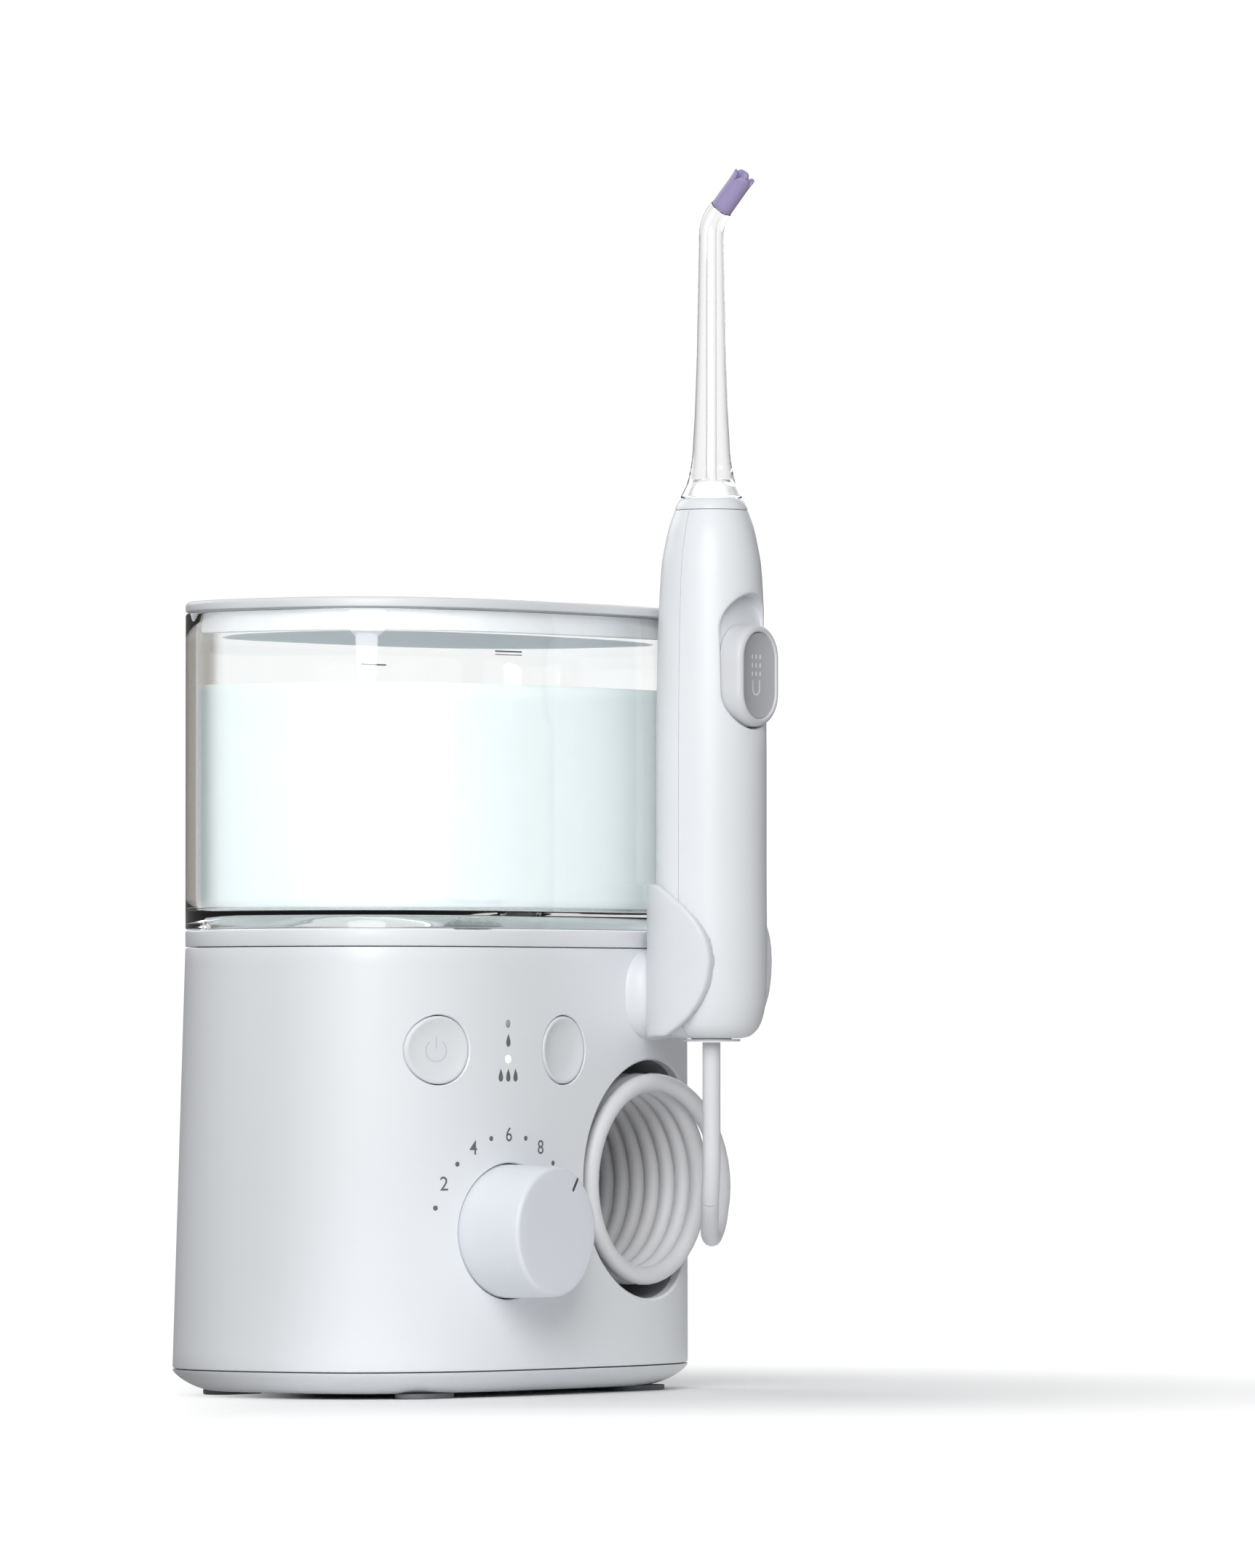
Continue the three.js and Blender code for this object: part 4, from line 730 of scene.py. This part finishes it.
def build_tank():
    inside = [(7.0, 119.0), (4.0, 119.02), (3.2, 119.2), (2.7, 119.6), (2.45, 120.2)]
    inside += [(WALL, z) for z in steps(122, TANK_TOP - 0.6, 12)]
    lip = [(2.25, TANK_TOP - 0.15), (1.95, TANK_TOP), (0.45, TANK_TOP), (0.15, TANK_TOP - 0.15)]
    outside = [(0.0, z) for z in steps(TANK_TOP - 0.5, 115.1, 12)]
    foot = [(0.12, 114.75), (0.4, 114.62), (2.1, 114.62), (WALL, 114.9), (WALL, 117.5), (2.7, 118.0),
            (3.2, 118.1)]
    tank = plan_solid("tank_body", inside + lip + outside + foot, smooth=40)
    cone = [(3.9, 113.6), (3.9, 114.9), (4.5, 114.9), (8.6, 117.4), (9, 118.6)]
    combine(tank, [turned_z("boss", cone, 0, VALVE_Y, 64)], "UNION", 40)
    bore = turned_z("bore", [(2.6, 112), (2.6, 117.5), (6.4, 117.5), (6.4, 122)], 0, VALVE_Y, 48)
    combine(tank, [bore], smooth=40)
    finished(tank, CLEAR, "tank", "tank_shell", slot="clear_plastic")

    gap = WALL + 0.06
    water = plan_solid("water_fill", [
        (7.0, 119.06), (4.1, 119.1), (3.3, 119.3), (2.8, 119.7), (gap + 0.03, 120.4), (gap, 122.4),
        (gap, WATER_Z + 0.45), (gap + 0.12, WATER_Z + 0.45), (gap + 0.5, WATER_Z + 0.12),
        (gap + 1.6, WATER_Z)])
    combine(water, [turned_z("valve_room", [(6.5, 118.6), (6.5, 121.6), (1.2, 121.7)], 0, VALVE_Y, 40)])
    finished(water, WATER, "tank")

    def front(x, z):
        return wall_y(x, z) - 0.02

    def rear(x, z):
        return -wall_y(x, z) + 0.06

    line = steps(-32.4, -23, 8)
    marks = [surface_strip("mark", [(x, 182.5) for x in line], 0.4, front),
             surface_strip("mark", [(x, 181.7) for x in line], 0.22, front),
             surface_strip("mark", [(-x, 182.5) for x in line], 0.4, rear)]
    finished(joined("fill_mark", marks), PRINT, "tank")


def build_lid():
    inset = 3.3
    profile = [(inset + 1.8, LID_RIM_Z), (inset + 1.8, LID_SKIRT_Z + 0.3), (inset + 1.5, LID_SKIRT_Z),
               (inset + 0.3, LID_SKIRT_Z), (inset, LID_SKIRT_Z + 0.3), (inset, LID_RIM_Z), (0.6, LID_RIM_Z),
               (0.25, LID_RIM_Z + 0.08), (0.05, LID_RIM_Z + 0.3), (0, LID_RIM_Z + 0.6)]
    profile += rounded_top(LID_TOP, 1.1, 6) + [(2.6, LID_TOP), (5, LID_TOP)]
    lid = plan_solid("tank_cover", profile)
    half_length, half_width, depth = 13, 7, 1.3
    rings = []
    for a in steps(math.pi / 24, math.pi * 23 / 24, 11):
        z = LID_TOP + 0.1 - depth * math.cos(a)
        rings.append([(half_length * math.sin(a) * u, 14 - HALF_DEPTH + half_width * math.sin(a) * v, z)
                      for u, v in circle(48, 1)])
    combine(lid, [loft("finger_dish", rings)])
    finished(lid, TRIM, "lid", "tank_lid", slot="trim_white")


# ---------------------------------------------------------------- handle

HANDLE_PROFILE = [
    (7.3, 87.9), (9.6, 88.5), (11.7, 90.6), (13.1, 94.6), (13.65, 100), (13.68, 130), (13.65, 165),
    (13.3, 187), (12.9, 196.5), (12.3, 205.5), (11.5, 210.1), (10.5, 214.6), (9.07, 218.7)]
HANDLE_CURVE = [tuple(p) for p in smooth_line(HANDLE_PROFILE, 5)]


def handle_radius(z):
    for (r0, z0), (r1, z1) in zip(HANDLE_CURVE, HANDLE_CURVE[1:]):
        if z0 <= z <= z1:
            return r0 + (r1 - r0) * (z - z0) / (z1 - z0)
    return HANDLE_CURVE[-1][0]


def handle_front_y(x, z):
    dx = min(abs(x - HANDLE_X), 12.0)
    return HANDLE_Y - math.sqrt(max(handle_radius(z) ** 2 - dx * dx, 0.01))


def slot_ring(z0, z1, radius, depth):
    """An upright slot outline round the handle's middle line; depth is a y, or a function of (x, z)."""
    arc = steps(0, math.pi, 24)
    points = [(HANDLE_X + radius * math.cos(a), z1 + radius * math.sin(a)) for a in arc]
    points += [(HANDLE_X - radius, z) for z in steps(z1, z0, 12)[1:-1]]
    points += [(HANDLE_X - radius * math.cos(a), z0 - radius * math.sin(a)) for a in arc]
    points += [(HANDLE_X + radius, z) for z in steps(z0, z1, 12)[1:-1]]
    return [(x, depth(x, z) if callable(depth) else depth, z) for x, z in points]


def half_shell(name, front):
    inner = [(7.3, 218.7), (10.5, 204.5), (11.85, 187), (11.85, 98), (9.2, 90.2), (5.2, 90.2), (5.2, 87.9)]
    shell = turned_z(name, HANDLE_CURVE + inner, HANDLE_X, HANDLE_Y, 120, True)
    near, far = (HANDLE_Y - 30, HANDLE_Y - 0.07) if front else (HANDLE_Y + 0.07, HANDLE_Y + 30)
    return combine(shell, [block("half", (HANDLE_X - 20, near, 80), (HANDLE_X + 20, far, 230))], "INTERSECT")


def build_handle():
    front = half_shell("handle_front", True)
    low, high, half = 164.3, 197.7, 9.0
    z0, z1 = low + half, high - half
    floor = HANDLE_Y - 8.65

    def under(distance):
        return lambda x, z: handle_front_y(x, z) + distance

    crown = [slot_ring(z0, z1, r, under(0.9)) for r in (half + 1.2, 8.4, 6.4, 4.2, 2.2, 0.4)]
    liner = loft("liner", [slot_ring(z0, z1, half + 1.2, floor + 1.2)] + crown)
    combine(front, [liner], "UNION")
    lip = [slot_ring(z0, z1, half + 1.1, HANDLE_Y - 18)]
    lip += [slot_ring(z0, z1, half + grow, under(sink))
            for grow, sink in [(1.1, -0.12), (0.75, -0.02), (0.4, 0.14), (0.12, 0.42), (0.0, 0.85)]]
    pocket = loft("pocket", lip + [slot_ring(z0, z1, half, floor)])
    stem_way = loft("stem_way", [slot_ring(178, 185.4, 2.6, y) for y in (HANDLE_Y - 20, HANDLE_Y - 1)])
    combine(front, [pocket, stem_way])
    finished(front, SHELL, "handle", "handle_front_shell", slot="shell_white")
    finished(half_shell("handle_rear", False), SHELL, "handle", "handle_rear_shell", slot="shell_white")

    profile = [(2.6, 87.3), (2.8, 87.1), (6.9, 87.1), (7.2, 87.25), (7.2, 87.55), (7.05, 87.7), (5, 87.7),
               (5, 95), (2.6, 95)]
    cap = turned_z("handle_foot_cap", profile, HANDLE_X, HANDLE_Y, 64, True)
    finished(cap, TRIM, "handle", "handle_cap", slot="trim_white")

    profile = [(5.2, 208), (6.6, 208), (6.6, 218.84), (8.85, 218.84), (8.97, 218.95), (8.93, 219.3),
               (8.55, 220.2), (8.15, 220.95), (7.75, 221.4), (7.3, 221.6), (5.5, 221.6), (5.2, 221.4)]
    collar = turned_z("handle_collar", profile, HANDLE_X, HANDLE_Y, 96, True)
    finished(collar, SHELL, "collar", "nozzle_collar", slot="shell_white")
    build_slider()


def build_slider():
    face = HANDLE_Y - 15.1
    z0, z1 = 173.4, 181.8
    pad_top, pad_radius, sag = z1 - 0.1, 6.42, 0.95
    outer = [(8.5, 6.15), (8.5, 2.2), (8.47, 1.5), (8.3, 0.9), (7.95, 0.42), (7.5, 0.1), (7.1, 0),
             (6.8, 0.06), (6.62, 0.22), (6.52, 0.5)]
    rings = [slot_ring(z0, z1, r, face + sink) for r, sink in outer]
    rings += [slot_ring(z0, pad_top, r, face + 2) for r in (6.5, 3)]
    slider = loft("slide_key", rings, smooth=40)
    stem = block("stem", (HANDLE_X - 1.8, HANDLE_Y - 10, 176), (HANDLE_X + 1.8, HANDLE_Y - 1, 180))
    shuttle = block("shuttle", (HANDLE_X - 2, HANDLE_Y - 2.1, 175), (HANDLE_X + 2, HANDLE_Y + 0.1, 186))
    combine(slider, [stem, shuttle], "UNION", 40)
    finished(slider, SLIDER_RIM, "slider", "slide_switch", slot="slider_grey")

    def pad_y(r):
        return face + 0.42 + sag * (1 - (r / pad_radius) ** 2)

    rings = [slot_ring(z0, pad_top, pad_radius, face + 1.95)]
    rings += [slot_ring(z0, pad_top, r, pad_y(r)) for r in steps(pad_radius, 0, 9)[:-1]]
    # The pad's grey is partly its own colour and partly painted shade of the dish.
    finished(loft("slide_thumb_pad", rings, smooth=40), SLIDER_PAD_GREY_AND_SHADE, "slider", slot="slider_grey")

    def pad(x, z):
        return pad_y(math.hypot(x - HANDLE_X, max(z - pad_top, z0 - z, 0.0)))

    marks = []
    for z in (182.2, 180.1, 178.0):
        for x in (HANDLE_X - 1.6, HANDLE_X, HANDLE_X + 1.6):
            bead = [(x + 0.27 * u, z + 0.6 * v) for u, v in circle(16, 1)]
            marks.append(surface_patch("bead", bead, pad))
    half = 1.4
    cup = [(HANDLE_X - half, 176.4), (HANDLE_X - half, 175.2)]
    cup += [(HANDLE_X - half * math.cos(a), 174.2 - half * math.sin(a)) for a in steps(0, math.pi, 16)]
    cup += [(HANDLE_X + half, 175.2), (HANDLE_X + half, 176.4)]
    marks.append(surface_strip("cup", cup, 0.36, pad))
    finished(joined("slide_mark", marks), ICON, "slider")


# ---------------------------------------------------------------- nozzle

BEND_Z, BEND_TURN, BEND_RADIUS, TIP_START = 287.2, math.radians(42.6), 8.0, 7.4


def nozzle_frame(travel):
    """Position and turn of the nozzle's centre line."""
    turn = min(max(travel / BEND_RADIUS, 0.0), BEND_TURN)
    past, straight = max(travel - BEND_TURN * BEND_RADIUS, 0.0), min(travel, 0.0)
    ahead = BEND_RADIUS * (1 - math.cos(turn)) + past * math.sin(turn)
    up = straight + BEND_RADIUS * math.sin(turn) + past * math.cos(turn)
    return Vector((HANDLE_X, HANDLE_Y - ahead, BEND_Z + up)), turn


def nozzle_ring(travel, radius, notch=0.0):
    """A ring square to the centre line; notch is the depth of four notches round it."""
    centre, turn = nozzle_frame(travel)
    ring = []
    for u, v in circle(56, radius):
        lift = -notch * (1 - abs(math.sin(2 * math.atan2(v, u)))) ** 2.2
        ring.append((centre.x + u, centre.y + v * math.cos(turn) - lift * math.sin(turn),
                     centre.z + v * math.sin(turn) + lift * math.cos(turn)))
    return ring


def build_nozzle():
    outside = [(7.55, 221.9), (7.6, 222.15), (7.35, 222.7), (6.75, 223.8), (6.04, 225.4), (5.2, 229),
               (4.7, 232.6), (4.5, 236.2), (4.2, 241), (3.97, 247), (3.7, 255), (3.5, 264), (3.3, 274),
               (3.1, 285)]
    outer = [(z - BEND_Z, r) for r, z in smooth_line(outside, 3)]
    outer += [(travel, 3.08 - 0.03 * travel) for travel in steps(0, TIP_START, 8)]
    outer += [(TIP_START + 0.02, 1.8), (TIP_START + 4.5, 1.8)]
    inner = [(TIP_START + 4.5, 1.0), (TIP_START, 1.05), (4, 1.12), (2, 1.18), (0, 1.25), (-14, 1.3),
             (-60.8, 1.35), (-61, 4.9), (222.4 - BEND_Z, 6.5), (221.9 - BEND_Z, 6.7)]
    stem = loft("nozzle_clear_stem", [nozzle_ring(t, r) for t, r in outer + inner], True, 40)
    finished(stem, NOZZLE_CLEAR, "nozzle", "nozzle_stem", slot="clear_plastic")

    profile = [(1.3, 208.2), (3.6, 208.2), (4, 209), (4, 210.6), (3.3, 210.6), (3.3, 212.4), (4.9, 212.4),
               (4.9, 222.4), (4.7, 223.4), (3.7, 225.5), (3.3, 225.85), (1.3, 225.9)]
    plug = turned_z("nozzle_core", profile, HANDLE_X, HANDLE_Y, 64, True)
    finished(plug, TRIM, "nozzle", "nozzle_plug", slot="trim_white")

    start = TIP_START + 0.1
    end = start + 10.7
    # Each ring of the soft tip: place along the centre line, radius, and depth of the four notches.
    stations = [
        (start, 2.66, 0), (start + 0.12, 2.75, 0), (start + 1.5, 2.75, 0), (start + 4, 2.74, 0),
        (start + 6.5, 2.72, 0), (end - 2.2, 2.74, 0), (end - 1.1, 2.8, 0.5), (end - 0.35, 2.86, 1.3),
        (end - 0.08, 2.78, 1.6), (end, 2.5, 1.7), (end - 0.12, 2.2, 1.7), (end - 0.6, 1.95, 1.3),
        (end - 1.9, 1.6, 0), (end - 2.8, 0.85, 0), (start + 5.2, 0.8, 0), (start + 5.2, 2.05, 0),
        (start, 2.05, 0)]
    tip = loft("nozzle_soft_tip", [nozzle_ring(*station) for station in stations], True, 60)
    finished(tip, LILAC, "nozzle", "nozzle_tip", slot="lilac_rubber")


# ---------------------------------------------------------------- hose, cord and plug

def coil_point(turns):
    """The hose's centre line; the first third of a turn leans out of the bay."""
    a = math.radians(-20) + turns * TAU
    share = min(turns / 0.36, 1.0)
    lean = 2.6 * (1 - share) ** 2 * (1 + 2 * share)
    y = turns * COIL_PITCH - 44.0 - lean
    return (BAY_X + COIL_RADIUS * math.cos(a), y, BAY_Z + COIL_RADIUS * math.sin(a))


def build_hose():
    coil = [coil_point(i / COIL_STEPS) for i in range(int(COIL_TURNS * COIL_STEPS) + 1)]
    bottom = BAY_Z - COIL_RADIUS
    tail = smooth_line([coil[-4], coil[-1], (BAY_X - 4.6, -1.4, bottom + 0.4), (BAY_X - 0.8, 0.4, bottom),
                        (BAY_X, 3.2, bottom)], 4)[5:]
    lead = smooth_line([(HANDLE_X, HANDLE_Y, 86.9), (HANDLE_X, HANDLE_Y, 70), (HANDLE_X, HANDLE_Y, 56),
                        (34.5, -58.4, 47.5), (39.5, -54.6, 42), (44.5, -51, 39), (49.5, -48.2, 38.4),
                        (53, -46.9, 41.2), coil[0], coil[3]], 8)[:-8]
    split = 24
    tube_low = [tuple(p) for p in lead[split:-1]] + coil + [tuple(p) for p in tail]
    finished(tube("hose_wound", tube_low, HOSE_RADIUS), HOSE_PAINT, "base", "hose_coil", slot="hose_grey")
    riser = tube("hose_riser", lead[:split + 1], HOSE_RADIUS)
    riser.data.materials.append(HOSE_PAINT)
    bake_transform(riser)
    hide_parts("hose_lead")


def build_cord():
    radius, floor, turns = 2.2, 2.3, 2.5
    points = [(CORD_X, 50, CORD_Z), (CORD_X, 56, CORD_Z), (35, 62, 21.6), (38.5, 68.6, 19.8),
              (44.5, 72.6, 16.6)]
    for turn in steps(0, turns, 30):
        a = math.pi / 2 - TAU * turn
        points.append((51.9 + 18.7 * math.cos(a), 62.6 + 11 * math.sin(a), floor + 4.6 * (turns - turn)))
    points += [(43, 52.6, floor), (37, 55.8, floor), (32, 57.5, floor), (29.8, 57.5, floor)]
    cord = tube("mains_cord", smooth_line(points, 4), radius, 14)
    finished(cord, HOSE_PAINT, "base", "power_cord", slot="hose_grey")

    profile = [(2.4, 38), (6.4, 38), (6.4, 41), (4.5, 41)]
    for i in range(5):
        y, r = 44.2 + i * 2.1, 4.5 - 0.28 * i
        profile += [(r, y), (r, y + 1.1), (r - 0.55, y + 1.3), (r - 0.55, y + 1.9)]
    boot = turned_y("cord_boot", profile + [(3.0, 55), (2.4, 55)], CORD_X, CORD_Z, 48, True)
    finished(boot, SEAL, "base", "strain_relief", slot="seal_rubber")

    outline = [(29, 53.5), (29, 61.5), (17, 65), (4, 65), (4, 50), (17, 50)]
    body = loft("plug_body", [[(x, y, z) for x, y in outline] for z in (0.1, 10.1)])
    bevel = body.modifiers.new("bevel", "BEVEL")
    bevel.width, bevel.segments = 1.6 * MM, 4
    baked(body, 40)
    finished(body, BLACK, "base", "power_plug", slot="black_plastic")
    pin = [(0.6, -8), (1.5, -7.5), (1.9, -6.4), (2, -4), (2, 4.6)]
    pins = []
    for y in (52.7, 62.3):
        rings = [[(x, y + u, 5.1 + v) for u, v in circle(32, r)] for r, x in pin]
        pins.append(loft("pin", rings, smooth=50))
    finished(joined("plug_pins", pins), BRASS, "base", slot="brass")


# ---------------------------------------------------------------- internal nodes that stay as they are

NODE_MATERIALS = [
    (STEEL, "cover_screw_front_left cover_screw_front_right cover_screw_rear_left cover_screw_rear_right"),
    (STEEL, "pump_plate motor_can motor_armature"),
    (BRASS, "hose_fitting motor_pinion"),
    (BOARD, "control_board power_supply"),
    (BLACK, "power_tact_switch mode_tact_switch pump_piston"),
    (PUMP, "pressure_valve pump_cylinder pump_head flow_valve"),
    (SEAL, "inlet_check_valve outlet_check_valve inlet_seal nozzle_seal"),
    (HOSE_PAINT, "inlet_tube pressure_tube feed_tube handle_tube"),
    (ACETAL, "knob_shaft crank_gear connecting_rod"),
    (PAD, "tank_valve"),
]


def finish_nodes():
    for material, names in NODE_MATERIALS:
        for name in names.split():
            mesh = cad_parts[name].data
            mesh.materials.clear()
            mesh.materials.append(material)


# ---------------------------------------------------------------- stage, light and camera

# Places and distances in this section are in metres. WHITE_OUT is just past white.
WHITE_OUT = 1.05
TO_CAMERA = Vector((-0.7896, -0.6135, 0.0))
TO_LEFT = Vector((-0.6135, 0.7896, 0.0))
UP = Vector((0, 0, 1))


def seen_directly(tree):
    """1 for what the viewer sees straight or through clear plastic, 0 for light that falls on surfaces."""
    path = add_node(tree, "ShaderNodeLightPath").outputs
    return maths(tree, "MAXIMUM", path["Is Camera Ray"], path["Is Transmission Ray"])


def build_stage():
    """A pale floor that fades to white away from the object."""
    half = 14
    mesh = bpy.data.meshes.new("floor")
    corners = [(-half, -half, 0), (half, -half, 0), (half, half, 0), (-half, half, 0)]
    mesh.from_pydata(corners, [], [(0, 1, 2, 3)])
    floor = add_object("floor", mesh)
    mat, tree, bsdf = new_material("floor")
    colour = varied_colour(tree, noise_value(tree, 1.2, 3.0), (0.96, 0.96, 0.96), 0.004)
    set_inputs(tree, bsdf, {"Base Color": colour, "Roughness": 0.7, "Specular IOR Level": 0.2})
    place = add_node(tree, "ShaderNodeTexCoord").outputs["Object"]
    distance = add_node(tree, "ShaderNodeVectorMath", {0: place}, operation="LENGTH").outputs["Value"]
    bare = maths(tree, "MAXIMUM", ease(tree, distance, 0.085, 0.3),
                 ease(tree, dot_product(tree, place, TO_LEFT), 0.03, 0.075))
    strength = {"Value": seen_directly(tree), "To Min": 0.25, "To Max": WHITE_OUT}
    glow = add_node(tree, "ShaderNodeMapRange", strength).outputs["Result"]
    white = add_node(tree, "ShaderNodeEmission", {"Color": (1, 1, 1), "Strength": glow})
    show_surface(tree, blend_shaders(tree, bare, bsdf.outputs["BSDF"], white.outputs["Emission"]))
    mesh.materials.append(mat)


def build_world():
    """A white room, brighter behind the camera and to the left, dimmer to the right."""
    world = bpy.data.worlds.new("studio")
    scene.world = world
    world.use_nodes = True
    tree = world.node_tree
    tree.nodes.clear()
    place = add_node(tree, "ShaderNodeTexCoord").outputs["Generated"]
    bright_side = (TO_LEFT * 0.35 + TO_CAMERA * 0.8 + UP * 0.5).normalized()
    share = ease(tree, dot_product(tree, place, bright_side), -0.7, 0.9)
    tone = blend_colours(tree, share, (0.2, 0.202, 0.204), (0.56, 0.573, 0.583))
    soft = add_node(tree, "ShaderNodeBackground", {"Color": tone, "Strength": 0.8})
    white = add_node(tree, "ShaderNodeBackground", {"Color": (1, 1, 1), "Strength": WHITE_OUT})
    sky = blend_shaders(tree, seen_directly(tree), soft.outputs["Background"], white.outputs["Background"])
    add_node(tree, "ShaderNodeOutputWorld", {"Surface": sky})


def aim(obj, place, target):
    obj.location = place
    obj.rotation_mode = "QUATERNION"
    obj.rotation_quaternion = (Vector(target) - Vector(place)).to_track_quat("-Z", "Y")


def build_lights():
    for name, place, size, power in [("key", (-0.42, -0.33, 0.34), 0.36, 1.98),
                                     ("right_fill", (1.4, 0.5, 0.9), 1.0, 5.0),
                                     ("back_fill", (0.3, 1.6, 1.0), 1.2, 9.0)]:
        light = bpy.data.lights.new(name, "AREA")
        light.shape, light.size, light.energy = "DISK", size, power
        aim(add_object(name, light), place, (0.0, -0.01, 0.13))


def build_camera():
    data = bpy.data.cameras.new("camera")
    data.lens, data.sensor_width = 260.6, 36.0
    data.clip_start, data.clip_end = 0.05, 60
    scene.camera = add_object("camera", data)
    aim(scene.camera, (-2.2305, -1.7333, 0.0862), (0.0288, -0.0371, 0.1512))
    scene.view_settings.view_transform = "Standard"


build_base()
build_bay()
build_cradle()
build_buttons()
build_knob()
build_prints()
build_tank()
build_lid()
build_handle()
build_nozzle()
build_hose()
build_cord()
finish_nodes()
build_stage()
build_world()
build_lights()
build_camera()
